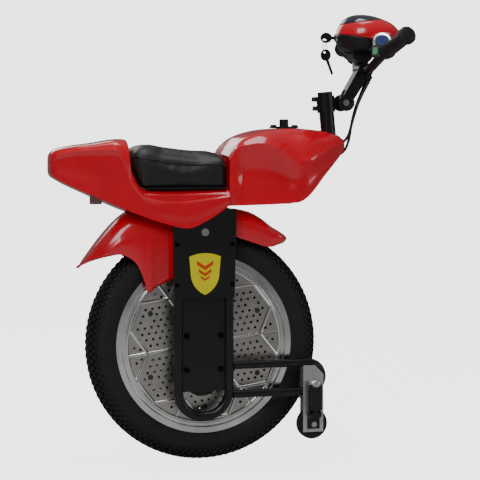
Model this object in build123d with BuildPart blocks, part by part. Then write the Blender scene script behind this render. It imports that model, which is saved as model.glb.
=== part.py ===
"""Single-wheel electric scooter: one fat tyre under a motorcycle-style body.

Frame: +X forward, +Y to the rider's left, +Z up, millimetres.
Origin: the point where the tyre meets the ground, under the wheel axle.
"""
from build123d import *
from math import radians, degrees, sin, cos, tan, atan2, sqrt
import os

os.makedirs("parts", exist_ok=True)

# ---------------------------------------------------------------- driving sizes
tyre_r = 279.0            # outside radius of the tyre
tyre_half_w = 42.0        # half the tyre's section width
tyre_wall = 11.0          # rubber between the tube and the outside
rim_r = 212.0             # radius of the rim flange
rim_half_w = 37.0         # half the width over the rim flanges
bead_r = 204.0            # radius of the bead seat
barrel_r = 192.0          # inner radius of the rim barrel
cover_r = 190.0           # radius of the perforated wheel cover
cover_t = 1.5             # thickness of the wheel cover
cover_y = 31.0            # inner face of the wheel cover from the mid plane
cover_lip = 2.5           # height of the raised border of the wheel cover
drum_r = 118.0            # outside radius of the hub motor
drum_wall = 10.0          # wall of the hub motor drum
drum_half_w = 24.0        # half the width of the drum
motor_cover_t = 6.0       # thickness of the motor side covers
bearing_r = 17.5          # outside radius of the wheel bearings
bearing_w = 8.0           # width of the wheel bearings
axle_r = 8.0              # axle radius
axle_half = 70.0          # half the axle length
collar_r = 13.0           # axle collar between bearing and clamp
stator_r = 96.0           # outside radius of the stator
stack_half = 15.0         # half the width of stator and magnets
magnet_gap = 2.0          # air gap between stator and magnets
running = 0.05            # radial running clearance
soft_gap = 0.3            # gap to soft or curved neighbours

column_x = -12.0          # middle of the side columns, behind the axle
column_y = 75.0           # tube centre from the mid plane
column_pitch = 122.0      # distance between the two legs of a column
column_tube_r = 11.0      # side tube radius
column_tube_wall = 2.0    # side tube wall
column_bend_z = 174.0     # height where the U bend starts
column_top_z = 600.0      # top of the side tubes
web_t = 4.0               # thickness of the plate between the tubes
web_low_z = 173.0         # lower end of that plate
panel_t = 3.0             # thickness of the outer cover panel
panel_low_z = 392.0       # lower edge of the outer cover panel
panel_top_w = 152.0       # width of the panel at its top
panel_low_w = 143.0       # width of the panel at its lower edge
badge_w, badge_h, badge_t = 75.0, 97.0, 1.5
badge_z = 449.0
clamp_y = 50.0            # inner face of the axle clamps
clamp_t = 8.0             # thickness of the clamp plate
clamp_low_z = 159.0       # lower rounded end of the clamp plate

deck_z = 606.0            # underside of the deck over the wheel
deck_t = 6.0
beam_h = 18.0             # height of the spine beam
beam_half_w = 20.0
tray_end_x = 202.0        # front end of the tray under the tank
seat_low_z = 650.0        # underside of the seat cushion
seat_pan_t = 4.0
seat_half_w = 80.0
shell_t = 3.5             # wall of the body shells
split_x = 48.0            # joint between the tail shell and the tank shell
fender_t = 3.0
fender_half_w = 63.7      # outside half width of the fenders, between the columns

post_r = 18.0             # steering post radius
post_wall = 2.5
post_base = (317.0, 783.0)   # where the post leaves the tank
post_lean = 5.6           # degrees, backwards
post_low_z = 752.0
post_top_z = 870.0
clamp_ring_r = 22.0
pivot = (356.0, 850.0)    # stem hinge
pivot_boss_r = 13.0
ear_half_w = 9.0
arm_half_w = 17.0
bar_centre = (405.0, 928.0)
bar_r = 11.1
bar_clamp_r = 19.0
bar_clamp_half_w = 22.0
grip_r = 17.0
grip_end_r = 21.5
grip_l = 112.0
head_x, head_split_z = 417.0, 1012.0
head_wall = 3.0

support_x, support_z = 253.0, 85.0   # axle of the support roller
roller_r, roller_w = 37.0, 17.0
arm_r = 9.5               # radius of the forward arm tubes
arm_high_z, arm_low_z = 231.5, 163.0
bracket_w, bracket_t = 50.0, 3.8
bracket_high_z = 226.0
peg_pivot_z, peg_y = 110.0, 101.0
hinge_base_t = 3.0       # base plate of the footpeg hinge
peg_l, peg_w, peg_t = 74.0, 32.0, 19.0

cable_r = 3.5

cap_x, cap_z = 205.0, 788.4          # underside of the filler flange
cap_neck_r = 12.4

column_out_w = column_pitch + 2 * column_tube_r
web_half_w = column_pitch / 2 - column_tube_r
panel_y = column_y + column_tube_r          # inner face of the cover panels
axle_z = tyre_r
WHEEL_AXIS = Axis((0, 0, axle_z), (0, 1, 0))
SIDES = {"right": -1, "left": 1}


def save(part, label):
    """Label a finished piece and write it."""
    part.label = label
    export_step(part, f"parts/{label}.step")


def ring_profile(points):
    """Closed (radius, y) outline, drawn where the wheel's revolve starts."""
    with BuildLine() as outline:
        Polyline(*points, close=True)
    make_face(outline.edges())


def mirrored(points):
    """Points of an outline's right half followed by their mirror images."""
    return points + [(r, -y) for r, y in reversed(points)]


def side_plane(y, side=-1):
    """Plane of a side view at distance y from the mid plane; local x, y are X, Z."""
    return Plane(origin=(0, side * y, 0), x_dir=(1, 0, 0), z_dir=(0, -1, 0))


def outward(side, depth):
    """Extrusion amount that leads away from the mid plane on that side."""
    return depth if side < 0 else -depth


# ---------------------------------------------------------------- wheel
WHEEL_PLANE = Plane(origin=(0, 0, axle_z))


def tyre_face(inset, bead_y):
    """Half-moon tyre section: flat at the bead, round over the shoulders."""
    w, top = tyre_half_w - inset, tyre_r - inset
    low = bead_r + 0.2
    with BuildLine() as outline:
        Line((low, -bead_y), (rim_r + 1, -bead_y - 1))
        ThreePointArc((rim_r + 1, -bead_y - 1), (low + 36, -w), (tyre_r - 16, -w + 6))
        ThreePointArc((tyre_r - 16, -w + 6), (top, 0), (tyre_r - 16, w - 6))
        ThreePointArc((tyre_r - 16, w - 6), (low + 36, w), (rim_r + 1, bead_y + 1))
        Line((rim_r + 1, bead_y + 1), (low, bead_y))
        Line((low, bead_y), (low, -bead_y))
    make_face(outline.edges())


with BuildPart() as tyre:
    with BuildSketch(WHEEL_PLANE):
        tyre_face(0, 31.5)
    revolve(axis=WHEEL_AXIS)
    with BuildSketch(WHEEL_PLANE):
        with Locations(((bead_r + tyre_r - tyre_wall) / 2, 0)):
            RectangleRounded(tyre_r - tyre_wall - bead_r - 8, 2 * (tyre_half_w - tyre_wall), 20)
    revolve(axis=WHEEL_AXIS, mode=Mode.SUBTRACT)
    with BuildSketch(WHEEL_PLANE):
        with Locations((bead_r, 0)):
            Rectangle(30, 30)
    revolve(axis=WHEEL_AXIS, mode=Mode.SUBTRACT)
save(tyre.part, "tyre")

tube_h = tyre_r - tyre_wall - bead_r - 8 - 2 * soft_gap
tube_w = 2 * (tyre_half_w - tyre_wall) - 2 * soft_gap
stem_hole_r = 3.0
with BuildPart() as inner_tube:
    for size, mode in ((0, Mode.ADD), (3, Mode.SUBTRACT)):
        with BuildSketch(WHEEL_PLANE):
            with Locations(((bead_r + tyre_r - tyre_wall) / 2, 0)):
                RectangleRounded(tube_h - 2 * size, tube_w - 2 * size, 19.5 - size)
        revolve(axis=WHEEL_AXIS, mode=mode)
    with Locations((0, 0, axle_z - bead_r - 8)):
        Cylinder(stem_hole_r, 27, align=(Align.CENTER, Align.CENTER, Align.MIN))
        Cylinder(1.5, 40, mode=Mode.SUBTRACT)
save(inner_tube.part, "inner_tube")

flange_in = rim_half_w - 3
rim_half = [
    (barrel_r + 7, -rim_half_w), (rim_r, -rim_half_w), (rim_r, -flange_in),
    (bead_r - 0.5, -flange_in + 2), (bead_r - 2, -20), (bead_r - 6, -14),
]
ledge_half = [
    (barrel_r, -drum_half_w), (cover_r - 8, -cover_y + 4), (cover_r - 8, -cover_y),
    (barrel_r + 4, -cover_y),
]
with BuildPart() as rim:
    with BuildSketch(WHEEL_PLANE):
        with BuildLine():
            Polyline(*mirrored(rim_half), *[(r, -y) for r, y in reversed(ledge_half)],
                     *ledge_half, close=True)
        make_face()
        with Locations(((drum_r + barrel_r) / 2, 0)):
            Rectangle(barrel_r - drum_r + 2, 10)
        with Locations((drum_r - drum_wall / 2, 0)):
            Rectangle(drum_wall, 2 * drum_half_w)
    revolve(axis=WHEEL_AXIS)
    with Locations((0, 0, axle_z - bead_r + 6)):
        Cylinder(stem_hole_r + 1.2, 30, mode=Mode.SUBTRACT)
    with Locations((0, 0, axle_z - barrel_r + 18)):
        Cylinder(stem_hole_r + 6, 36, mode=Mode.SUBTRACT)
save(rim.part, "rim")

with BuildPart() as motor_covers:
    for side in SIDES.values():
        with BuildSketch(WHEEL_PLANE):
            ring_profile([
                (bearing_r, side * (drum_half_w - 2)), (30, side * (drum_half_w - 2)),
                (30, side * drum_half_w), (drum_r, side * drum_half_w),
                (drum_r, side * (drum_half_w + motor_cover_t)),
                (bearing_r, side * (drum_half_w + motor_cover_t)),
            ])
        revolve(axis=WHEEL_AXIS)
save(motor_covers.part, "motor_covers")

with BuildPart() as wheel_bearings:
    for side in SIDES.values():
        with BuildSketch(WHEEL_PLANE):
            y_mid = drum_half_w - 2 + bearing_w / 2
            with Locations(((axle_r + running + bearing_r) / 2, side * y_mid)):
                Rectangle(bearing_r - axle_r - running, bearing_w)
        revolve(axis=WHEEL_AXIS)
save(wheel_bearings.part, "wheel_bearings")

with BuildPart() as magnet_ring:
    with BuildSketch(WHEEL_PLANE):
        low = stator_r + magnet_gap
        with Locations(((low + drum_r - drum_wall) / 2, 0)):
            Rectangle(drum_r - drum_wall - low, 2 * stack_half)
    revolve(axis=WHEEL_AXIS)
save(magnet_ring.part, "magnet_ring")

screw_ring_r = 150.0
screw_r = 3.0
screw_turn = 30.0
with BuildPart() as wheel_cover:
    for side in SIDES.values():
        with BuildSketch(WHEEL_PLANE):
            ring_profile([
                (collar_r + 4, side * cover_y), (cover_r, side * cover_y),
                (cover_r, side * (cover_y + cover_t + cover_lip)),
                (cover_r - 5, side * (cover_y + cover_t + cover_lip)),
                (cover_r - 6, side * (cover_y + cover_t)), (collar_r + 4, side * (cover_y + cover_t)),
            ])
        revolve(axis=WHEEL_AXIS)
        with Locations(Plane(origin=(0, 0, axle_z), x_dir=(1, 0, 0), z_dir=(0, -1, 0))):
            with PolarLocations(screw_ring_r, 6, start_angle=screw_turn):
                Cylinder(screw_r, 3 * cover_y, mode=Mode.SUBTRACT)
save(wheel_cover.part, "wheel_covers")

with BuildPart() as cover_spacers:
    for side in SIDES.values():
        inner = Plane(origin=(0, side * 5, axle_z), x_dir=(1, 0, 0), z_dir=(0, side, 0))
        outer = inner.offset(cover_y - 5)
        with Locations(inner):
            with PolarLocations(screw_ring_r, 6, start_angle=side * -screw_turn):
                Cylinder(7, cover_y - 5, align=(Align.CENTER, Align.CENTER, Align.MIN))
        with Locations(outer):
            with PolarLocations(screw_ring_r, 6, start_angle=side * -screw_turn):
                Cylinder(screw_r, cover_t, align=(Align.CENTER, Align.CENTER, Align.MIN))
        with Locations(outer.offset(cover_t)):
            with PolarLocations(screw_ring_r, 6, start_angle=side * -screw_turn):
                Cylinder(6, 2, align=(Align.CENTER, Align.CENTER, Align.MIN))
save(cover_spacers.part, "cover_screws")

# ---------------------------------------------------------------- axle, fixed to the columns
with BuildPart() as axle:
    with BuildSketch(WHEEL_PLANE):
        y_bearing = drum_half_w - 2 + bearing_w
        ring_profile(mirrored([(0.0, -axle_half), (axle_r, -axle_half), (axle_r, -clamp_y),
                               (collar_r, -clamp_y), (collar_r, -y_bearing - 0.4),
                               (axle_r, -y_bearing - 0.4)]))
    revolve(axis=WHEEL_AXIS)
save(axle.part, "axle")

with BuildPart() as stator:
    with BuildSketch(WHEEL_PLANE):
        with Locations(((axle_r + stator_r) / 2, 0)):
            Rectangle(stator_r - axle_r, 2 * stack_half)
    revolve(axis=WHEEL_AXIS)
save(stator.part, "stator")

nut_h, nut_flats = 9.0, 24.0
pocket_r = 17.0
pocket_y = clamp_y + clamp_t + 2
bolt_dx, bolt_dz = 41.0, 40.0
bolt_mid_z = 264.0
bolt_shank_r = 4.0
with BuildPart() as axle_nuts:
    for side in SIDES.values():
        with BuildSketch(Plane(origin=(0, side * pocket_y, axle_z), x_dir=(1, 0, 0), z_dir=(0, side, 0))):
            RegularPolygon(nut_flats / 2, 6, major_radius=False)
            Circle(axle_r, mode=Mode.SUBTRACT)
        extrude(amount=nut_h)
save(axle_nuts.part, "axle_nuts")

block_high_z, block_low_z = 324.0, 206.0
with BuildPart() as axle_clamp:
    for side in SIDES.values():
        with BuildSketch(side_plane(clamp_y, side)):
            clamp_r = web_half_w - 4
            with Locations((column_x, (clamp_low_z + clamp_r + block_high_z) / 2)):
                Rectangle(2 * clamp_r, block_high_z - clamp_low_z - clamp_r)
            with Locations((column_x, clamp_low_z + clamp_r)):
                Circle(clamp_r)
        extrude(amount=outward(side, clamp_t))
        with BuildSketch(side_plane(clamp_y + clamp_t, side)):
            with Locations((column_x, (block_high_z + block_low_z) / 2)):
                Rectangle(2 * clamp_r, block_high_z - block_low_z)
        extrude(amount=outward(side, column_y - web_t / 2 - clamp_y - clamp_t))
        with BuildSketch(side_plane(pocket_y, side)):
            with Locations((0, axle_z)):
                Circle(pocket_r)
        extrude(amount=outward(side, 30), mode=Mode.SUBTRACT)
        with BuildSketch(side_plane(0, side)):
            with Locations((0, axle_z)):
                Circle(axle_r)
            with Locations((column_x, bolt_mid_z)):
                with GridLocations(2 * bolt_dx, 2 * bolt_dz, 2, 2):
                    Circle(bolt_shank_r)
        extrude(amount=outward(side, 90), mode=Mode.SUBTRACT)
save(axle_clamp.part, "axle_clamps")

# ---------------------------------------------------------------- side columns
panel_bolt_dx = 66.0
panel_bolt_zs = (518.0, 424.0)
panel_bolt_r = 2.5
hub_bolt_z = 546.0
hub_bolt_r = 5.0
arm_root_x = column_x + column_pitch / 2 + column_tube_r - 1.5


def panel_bolt_holes():
    """Shanks of the four small bolts that hold a cover panel on its tubes."""
    for z in panel_bolt_zs:
        for dx in (-panel_bolt_dx, panel_bolt_dx):
            with Locations((column_x + dx, z)):
                Circle(panel_bolt_r)


for name, side in SIDES.items():
    with BuildPart() as side_tube:
        half = column_pitch / 2
        with BuildLine(side_plane(column_y, side)) as u_path:
            Line((column_x - half, column_top_z), (column_x - half, column_bend_z))
            ThreePointArc((column_x - half, column_bend_z), (column_x, column_bend_z - half),
                          (column_x + half, column_bend_z))
            Line((column_x + half, column_bend_z), (column_x + half, column_top_z))
        with BuildSketch(Plane(origin=(column_x - half, side * column_y, column_top_z), z_dir=(0, 0, -1))):
            Circle(column_tube_r)
            Circle(column_tube_r - column_tube_wall, mode=Mode.SUBTRACT)
        sweep(path=u_path.wires()[0])
        with BuildSketch(side_plane(column_y, side)):
            panel_bolt_holes()
        extrude(amount=outward(side, 20), mode=Mode.SUBTRACT)
    save(side_tube.part, f"side_tube_{name}")

with BuildPart() as web_plates:
    for side in SIDES.values():
        with BuildSketch(side_plane(column_y - web_t / 2, side)):
            with Locations((column_x, (web_low_z + column_top_z) / 2)):
                Rectangle(2 * web_half_w, column_top_z - web_low_z)
            with Locations((column_x, bolt_mid_z)):
                with GridLocations(2 * bolt_dx, 2 * bolt_dz, 2, 2):
                    Circle(bolt_shank_r, mode=Mode.SUBTRACT)
            with Locations((column_x, hub_bolt_z)):
                Circle(hub_bolt_r, mode=Mode.SUBTRACT)
        extrude(amount=outward(side, web_t))
save(web_plates.part, "web_plates")

with BuildPart() as cover_panels:
    for side in SIDES.values():
        with BuildSketch(side_plane(panel_y, side)):
            with BuildLine():
                Polyline((column_x - panel_top_w / 2, column_top_z), (column_x + panel_top_w / 2, column_top_z),
                         (column_x + panel_low_w / 2, panel_low_z),
                         (column_x - panel_low_w / 2, panel_low_z), close=True)
            make_face()
            panel_holes = [(column_x, hub_bolt_z)]
            with Locations(*panel_holes):
                Circle(hub_bolt_r, mode=Mode.SUBTRACT)
            for z in panel_bolt_zs:
                with Locations((column_x - panel_bolt_dx, z), (column_x + panel_bolt_dx, z)):
                    Circle(panel_bolt_r, mode=Mode.SUBTRACT)
        extrude(amount=outward(side, panel_t))
save(cover_panels.part, "cover_panels")

with BuildPart() as badges:
    for side in SIDES.values():
        with BuildSketch(side_plane(panel_y + panel_t, side)):
            with BuildLine():
                top, low, half = badge_z + badge_h / 2, badge_z - badge_h / 2, badge_w / 2
                ThreePointArc((column_x - half, top - 8), (column_x, top), (column_x + half, top - 8))
                Line((column_x + half, top - 8), (column_x + half - 4, badge_z - 6))
                ThreePointArc((column_x + half - 4, badge_z - 6), (column_x + 22, badge_z - 32), (column_x, low))
                ThreePointArc((column_x, low), (column_x - 22, badge_z - 32), (column_x - half + 4, badge_z - 6))
                Line((column_x - half + 4, badge_z - 6), (column_x - half, top - 8))
            make_face()
        extrude(amount=outward(side, badge_t))
save(badges.part, "badges")

deck_flange_y = column_y - column_tube_r      # outer face of the deck's side flanges
deck_flange_t = 4.0
with BuildPart() as frame_bolts:
    for side in SIDES.values():
        with BuildSketch(side_plane(panel_y + panel_t, side)):
            for z in panel_bolt_zs:
                with Locations((column_x - panel_bolt_dx, z), (column_x + panel_bolt_dx, z)):
                    Circle(2 * panel_bolt_r)
        extrude(amount=outward(side, 2.5))
        with BuildSketch(side_plane(panel_y - 5, side)):
            for z in panel_bolt_zs:
                with Locations((column_x - panel_bolt_dx, z), (column_x + panel_bolt_dx, z)):
                    Circle(panel_bolt_r)
        extrude(amount=outward(side, panel_t + 5))
        with BuildSketch(side_plane(pocket_y, side)):
            with Locations((column_x, bolt_mid_z)):
                with GridLocations(2 * bolt_dx, 2 * bolt_dz, 2, 2):
                    Circle(bolt_shank_r)
        extrude(amount=outward(side, column_y + web_t / 2 - pocket_y))
        with BuildSketch(side_plane(column_y + web_t / 2, side)):
            with Locations((column_x, bolt_mid_z)):
                with GridLocations(2 * bolt_dx, 2 * bolt_dz, 2, 2):
                    Circle(1.7 * bolt_shank_r)
        extrude(amount=outward(side, 4))
        with BuildSketch(side_plane(deck_flange_y - deck_flange_t, side)):
            with Locations((column_x, hub_bolt_z)):
                Circle(hub_bolt_r)
        extrude(amount=outward(side, panel_y + panel_t - deck_flange_y + deck_flange_t))
        with BuildSketch(side_plane(panel_y + panel_t, side)):
            with Locations((column_x, hub_bolt_z)):
                Circle(9)
        extrude(amount=outward(side, 5))
save(frame_bolts.part, "frame_bolts")

with BuildPart() as top_deck:
    with Locations((column_x, 0, deck_z + deck_t / 2)):
        Box(column_pitch, 2 * deck_flange_y, deck_t)
    for side in SIDES.values():
        with BuildSketch(side_plane(deck_flange_y - deck_flange_t, side)):
            with Locations((column_x, (deck_z + 525) / 2)):
                Rectangle(column_pitch, deck_z - 525)
            with Locations((column_x, hub_bolt_z)):
                Circle(hub_bolt_r, mode=Mode.SUBTRACT)
        extrude(amount=outward(side, deck_flange_t))
save(top_deck.part, "top_deck")

# ---------------------------------------------------------------- spine beam and steering post
beam_z = deck_z + deck_t
lean = radians(post_lean)
post_dir = (-sin(lean), 0, cos(lean))


def post_point(z):
    """Point of the post's axis at height z."""
    return (post_base[0] - (z - post_base[1]) * tan(lean), 0, z)


def post_plane(z):
    """Plane across the post at height z of its axis."""
    return Plane(origin=post_point(z), x_dir=(cos(lean), 0, sin(lean)), z_dir=post_dir)


post_len = (post_top_z - post_low_z) / cos(lean)
seat_z = post_low_z - post_r * sin(lean) - 0.1
with BuildPart() as spine_beam:
    with BuildSketch(side_plane(-beam_half_w)):
        with BuildLine():
            x_end = post_point(seat_z)[0] + 8
            Polyline((column_x - 30, beam_z), (tray_end_x - 12, beam_z), (x_end, seat_z - 14), (x_end, seat_z),
                     (x_end - 30, seat_z), (tray_end_x - 24, beam_z + beam_h), (column_x - 30, beam_z + beam_h), close=True)
        make_face()
    extrude(amount=2 * beam_half_w)
    with BuildSketch(post_plane(seat_z - 4)):
        Circle(post_r - post_wall - 0.1)
    extrude(amount=70)
save(spine_beam.part, "spine_beam")

with BuildPart() as steering_post:
    with BuildSketch(post_plane(post_low_z)):
        Circle(post_r)
        Circle(post_r - post_wall, mode=Mode.SUBTRACT)
    extrude(amount=post_len)
save(steering_post.part, "steering_post")

with BuildPart() as post_cap:
    with BuildSketch(post_plane(post_top_z)):
        Circle(post_r)
    extrude(amount=6)
    with BuildSketch(post_plane(post_top_z)):
        Circle(post_r - post_wall - 0.1)
    extrude(amount=-12)
save(post_cap.part, "post_cap")

ring_low_z, ring_high_z = 827.0, 866.0
with BuildPart() as stem_clamp:
    with BuildSketch(post_plane(ring_low_z)):
        Circle(clamp_ring_r)
    extrude(amount=(ring_high_z - ring_low_z) / cos(lean))
    with BuildSketch(side_plane(-ear_half_w)):
        with BuildLine():
            Polyline((post_point(850)[0], 832), (pivot[0] - 4, pivot[1] - pivot_boss_r),
                     (pivot[0] - 4, pivot[1] + pivot_boss_r), (post_point(850)[0], 862), close=True)
        make_face()
        with Locations(pivot):
            Circle(pivot_boss_r)
    extrude(amount=2 * ear_half_w)
    for z in (836, 858):
        with Locations((post_point(z)[0] - clamp_ring_r - 3, 0, z)):
            Box(12, 26, 11)
    with BuildSketch(post_plane(800)):
        Circle(post_r)
    extrude(amount=120, mode=Mode.SUBTRACT)
    with BuildSketch(side_plane(-40)):
        with Locations(pivot):
            Circle(4.9)
    extrude(amount=80, mode=Mode.SUBTRACT)
save(stem_clamp.part, "stem_clamp")

# ---------------------------------------------------------------- stem arm, handlebar, grips
arm_dir = Vector(bar_centre[0] - pivot[0], bar_centre[1] - pivot[1], 0).normalized()
arm_nrm = Vector(-arm_dir.Y, arm_dir.X, 0)


def arm_point(along, across):
    """Point of the side view, measured from the stem hinge towards the bar."""
    p = Vector(*pivot, 0) + arm_dir * along + arm_nrm * across
    return (p.X, p.Y)


arm_len = Vector(bar_centre[0] - pivot[0], bar_centre[1] - pivot[1], 0).length
with BuildPart() as stem_arm:
    with BuildSketch(side_plane(-arm_half_w)):
        with BuildLine():
            Polyline(arm_point(0, -pivot_boss_r), arm_point(arm_len, -16), arm_point(arm_len, 16),
                     arm_point(0, pivot_boss_r), close=True)
        make_face()
        with Locations(pivot):
            Circle(pivot_boss_r)
    extrude(amount=2 * arm_half_w)
    with BuildSketch(side_plane(-ear_half_w - soft_gap)):
        with Locations(pivot):
            Circle(pivot_boss_r + 18)
    extrude(amount=2 * (ear_half_w + soft_gap), mode=Mode.SUBTRACT)
    with BuildSketch(side_plane(-bar_clamp_half_w)):
        with Locations(bar_centre):
            Circle(bar_clamp_r)
    extrude(amount=2 * bar_clamp_half_w)
    with BuildSketch(side_plane(-60)):
        with BuildLine():
            Polyline(arm_point(arm_len, -40), arm_point(arm_len + 40, -40),
                     arm_point(arm_len + 40, 40), arm_point(arm_len, 40), close=True)
        make_face()
        with Locations(bar_centre):
            Circle(bar_r)
        with Locations(pivot):
            Circle(4.9 + running)
    extrude(amount=120, mode=Mode.SUBTRACT)
save(stem_arm.part, "stem_arm")

with BuildPart() as bar_clamp:
    with BuildSketch(side_plane(-bar_clamp_half_w)):
        with Locations(bar_centre):
            Circle(bar_clamp_r)
            Circle(bar_r, mode=Mode.SUBTRACT)
        with BuildLine():
            Polyline(arm_point(arm_len, -40), arm_point(arm_len - 60, -40),
                     arm_point(arm_len - 60, 40), arm_point(arm_len, 40), close=True)
        make_face(mode=Mode.SUBTRACT)
    extrude(amount=2 * bar_clamp_half_w)
save(bar_clamp.part, "bar_clamp")

grip_in = (423.0, 97.0, 963.0)
grip_out = (431.0, 228.0, 998.0)
bar_points = [
    (grip_out[0], -grip_out[1], grip_out[2]), (grip_in[0], -grip_in[1], grip_in[2]),
    (bar_centre[0], -44, bar_centre[1]), (bar_centre[0], 44, bar_centre[1]),
    grip_in, grip_out,
]
bar_bend_r = 34.0
with BuildPart() as handlebar:
    with BuildLine() as bar_path:
        FilletPolyline(*bar_points, radius=bar_bend_r)
    bar_start = Vector(*bar_points[1]) - Vector(*bar_points[0])
    with BuildSketch(Plane(origin=bar_points[0], z_dir=bar_start)):
        Circle(bar_r)
        Circle(bar_r - 2.2, mode=Mode.SUBTRACT)
    sweep(path=bar_path.wires()[0])
save(handlebar.part, "handlebar")


def grip_axis(side):
    """Plane at the outer end of a grip, looking back along the bar."""
    out = Vector(grip_out[0], side * grip_out[1], grip_out[2])
    inn = Vector(grip_in[0], side * grip_in[1], grip_in[2])
    return Plane(origin=out, x_dir=(1, 0, 0.0001), z_dir=(inn - out).normalized())


with BuildPart() as grips:
    for side in SIDES.values():
        end = grip_axis(side)
        with BuildSketch(end):
            Circle(grip_r)
        extrude(amount=grip_l)
        with BuildSketch(end):
            Circle(grip_end_r)
        extrude(amount=8)
        with BuildSketch(end.offset(grip_l - 5)):
            Circle(grip_end_r - 2)
        extrude(amount=5)
        with BuildSketch(end.offset(-4)):
            Circle(grip_end_r - 3)
        extrude(amount=4)
        with BuildSketch(end):
            Circle(bar_r)
        extrude(amount=grip_l + 5, mode=Mode.SUBTRACT)
save(grips.part, "grips")

# ---------------------------------------------------------------- head unit
head_low = [(974, 400, 42, 44), (990, 410, 66, 62), (head_split_z, head_x, 79, 72)]
head_high = [(head_split_z, head_x, 79, 72), (1042, 413, 64, 60), (1060, 404, 34, 36)]


def head_loft(levels, inset, mode):
    """Stack of ellipses (height, centre X, half length, half width)."""
    faces = []
    for z, x, rx, ry in levels:
        with BuildSketch(Plane.XY.offset(z)) as level:
            with Locations((x, 0)):
                Ellipse(rx - inset, ry - inset)
        faces.append(level.sketch)
    loft(faces, ruled=True, mode=mode)


lamp_x, lamp_z, lamp_r = 478.0, 1009.0, 20.0
lock_x, lock_r = 333.0, 9.0
lock_z = 1006.0
for label, levels in (("head_shell_lower", head_low), ("head_shell_upper", head_high)):
    with BuildPart() as head_shell:
        head_loft(levels, 0, Mode.ADD)
        inner = [(z + (head_wall if (z == 974) else 0) - (head_wall if z == 1060 else 0), x, rx, ry)
                 for z, x, rx, ry in levels]
        head_loft(inner, head_wall, Mode.SUBTRACT)
        for x, r, z in ((lamp_x, lamp_r, lamp_z), (lock_x, lock_r, lock_z)):
            with BuildSketch(Plane(origin=(x, 0, z), z_dir=(1, 0, 0))):
                Circle(r)
            extrude(amount=40, mode=Mode.SUBTRACT)
    save(head_shell.part, label)

with BuildPart() as display_lens:
    with BuildSketch(Plane.XY.offset(1060)):
        with Locations((404, 0)):
            Ellipse(31, 33)
    extrude(amount=4)
save(display_lens.part, "display_lens")

with BuildPart() as headlight_lens:
    with BuildSketch(Plane(origin=(lamp_x, 0, lamp_z), z_dir=(1, 0, 0))):
        Circle(lamp_r)
    extrude(amount=20)
save(headlight_lens.part, "headlight_lens")

key_plug_r = 4.0
with BuildPart() as lock_barrel:
    with BuildSketch(Plane(origin=(lock_x, 0, lock_z), z_dir=(1, 0, 0))):
        Circle(lock_r)
        Circle(key_plug_r + running, mode=Mode.SUBTRACT)
    extrude(amount=28)
save(lock_barrel.part, "lock_barrel")

key_ring_x, key_ring_r, ring_wire_r = 307.0, 13.0, 0.9
with BuildPart() as ignition_key:
    with BuildSketch(Plane(origin=(323, 0, lock_z), z_dir=(1, 0, 0))):
        Circle(key_plug_r)
    extrude(amount=32)
    with BuildSketch(side_plane(-2.5)):
        with Locations((311, lock_z)):
            Ellipse(14, 12.5)
        with Locations((key_ring_x, lock_z - 5)):
            SlotOverall(10, 5, mode=Mode.SUBTRACT)
    extrude(amount=5)
save(ignition_key.part, "ignition_key")

ring_z = lock_z - 6.3 - key_ring_r
spare_top_z = ring_z - key_ring_r
with BuildPart() as spare_key:
    with BuildSketch(side_plane(-2.5)):
        with Locations((key_ring_x + 3, spare_top_z - 9)):
            Ellipse(12.5, 14)
        with BuildLine():
            Polyline((key_ring_x + 3, spare_top_z - 20), (key_ring_x + 10, spare_top_z - 20),
                     (key_ring_x + 22, spare_top_z - 54), (key_ring_x + 18, spare_top_z - 57), close=True)
        make_face()
        with Locations((key_ring_x, spare_top_z - 2)):
            Circle(3.2, mode=Mode.SUBTRACT)
    extrude(amount=5)
    with BuildSketch(Plane(origin=(key_ring_x, key_ring_r, ring_z), z_dir=(0, 0, 1))):
        Circle(ring_wire_r)
    revolve(axis=Axis((key_ring_x, 0, ring_z), (1, 0, 0)))
save(spare_key.part, "spare_key")

with BuildPart() as head_bracket:
    with BuildSketch(side_plane(-24)):
        with BuildLine():
            Polyline((372, 974), (426, 974), (420, 956), (410, 946.5), (394, 946.5), (372, 956), close=True)
        make_face()
    extrude(amount=48)
    with BuildSketch(side_plane(-60)):
        with Locations(bar_centre):
            Circle(bar_clamp_r)
    extrude(amount=120, mode=Mode.SUBTRACT)
save(head_bracket.part, "head_bracket")

# ---------------------------------------------------------------- switch pod on the right side
pod_normal = Vector(-0.42, -0.84, 0.34).normalized()
pod_centre = Vector(420, -94, 992)
horn_at = (-15.5, -24.5)
pod_face = Plane(origin=pod_centre, x_dir=(0.9, -0.45, 0), z_dir=pod_normal)
button_travel = 2.5
with BuildPart() as switch_pod:
    with BuildSketch(pod_face):
        Circle(21)
        with Locations((-10, -21)):
            RectangleRounded(28, 32, 8)
    extrude(amount=-14)
    with BuildSketch(pod_face):
        Circle(20.5)
    extrude(amount=4)
    with BuildSketch(grip_axis(-1).offset(grip_l + 1)):
        Circle(grip_r)
    extrude(amount=14)
    with BuildSketch(pod_face.offset(15)):
        Circle(14.5)
        with Locations(horn_at):
            RectangleRounded(12.5, 19.5, 5)
    extrude(amount=-21, mode=Mode.SUBTRACT)
    with BuildLine() as bar_hole_path:
        FilletPolyline(*bar_points[:3], radius=bar_bend_r)
    with BuildSketch(Plane(origin=bar_points[0], z_dir=bar_start)):
        Circle(bar_r)
    sweep(path=bar_hole_path.wires()[0], mode=Mode.SUBTRACT)
save(switch_pod.part, "switch_pod")

with BuildPart() as light_button:
    with BuildSketch(pod_face.offset(-3)):
        Circle(14)
    extrude(amount=10)
save(light_button.part, "light_button")

with BuildPart() as horn_button:
    with BuildSketch(pod_face.offset(-3)):
        with Locations(horn_at):
            RectangleRounded(11.5, 18.5, 4.5)
    extrude(amount=7)
save(horn_button.part, "horn_button")

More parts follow.
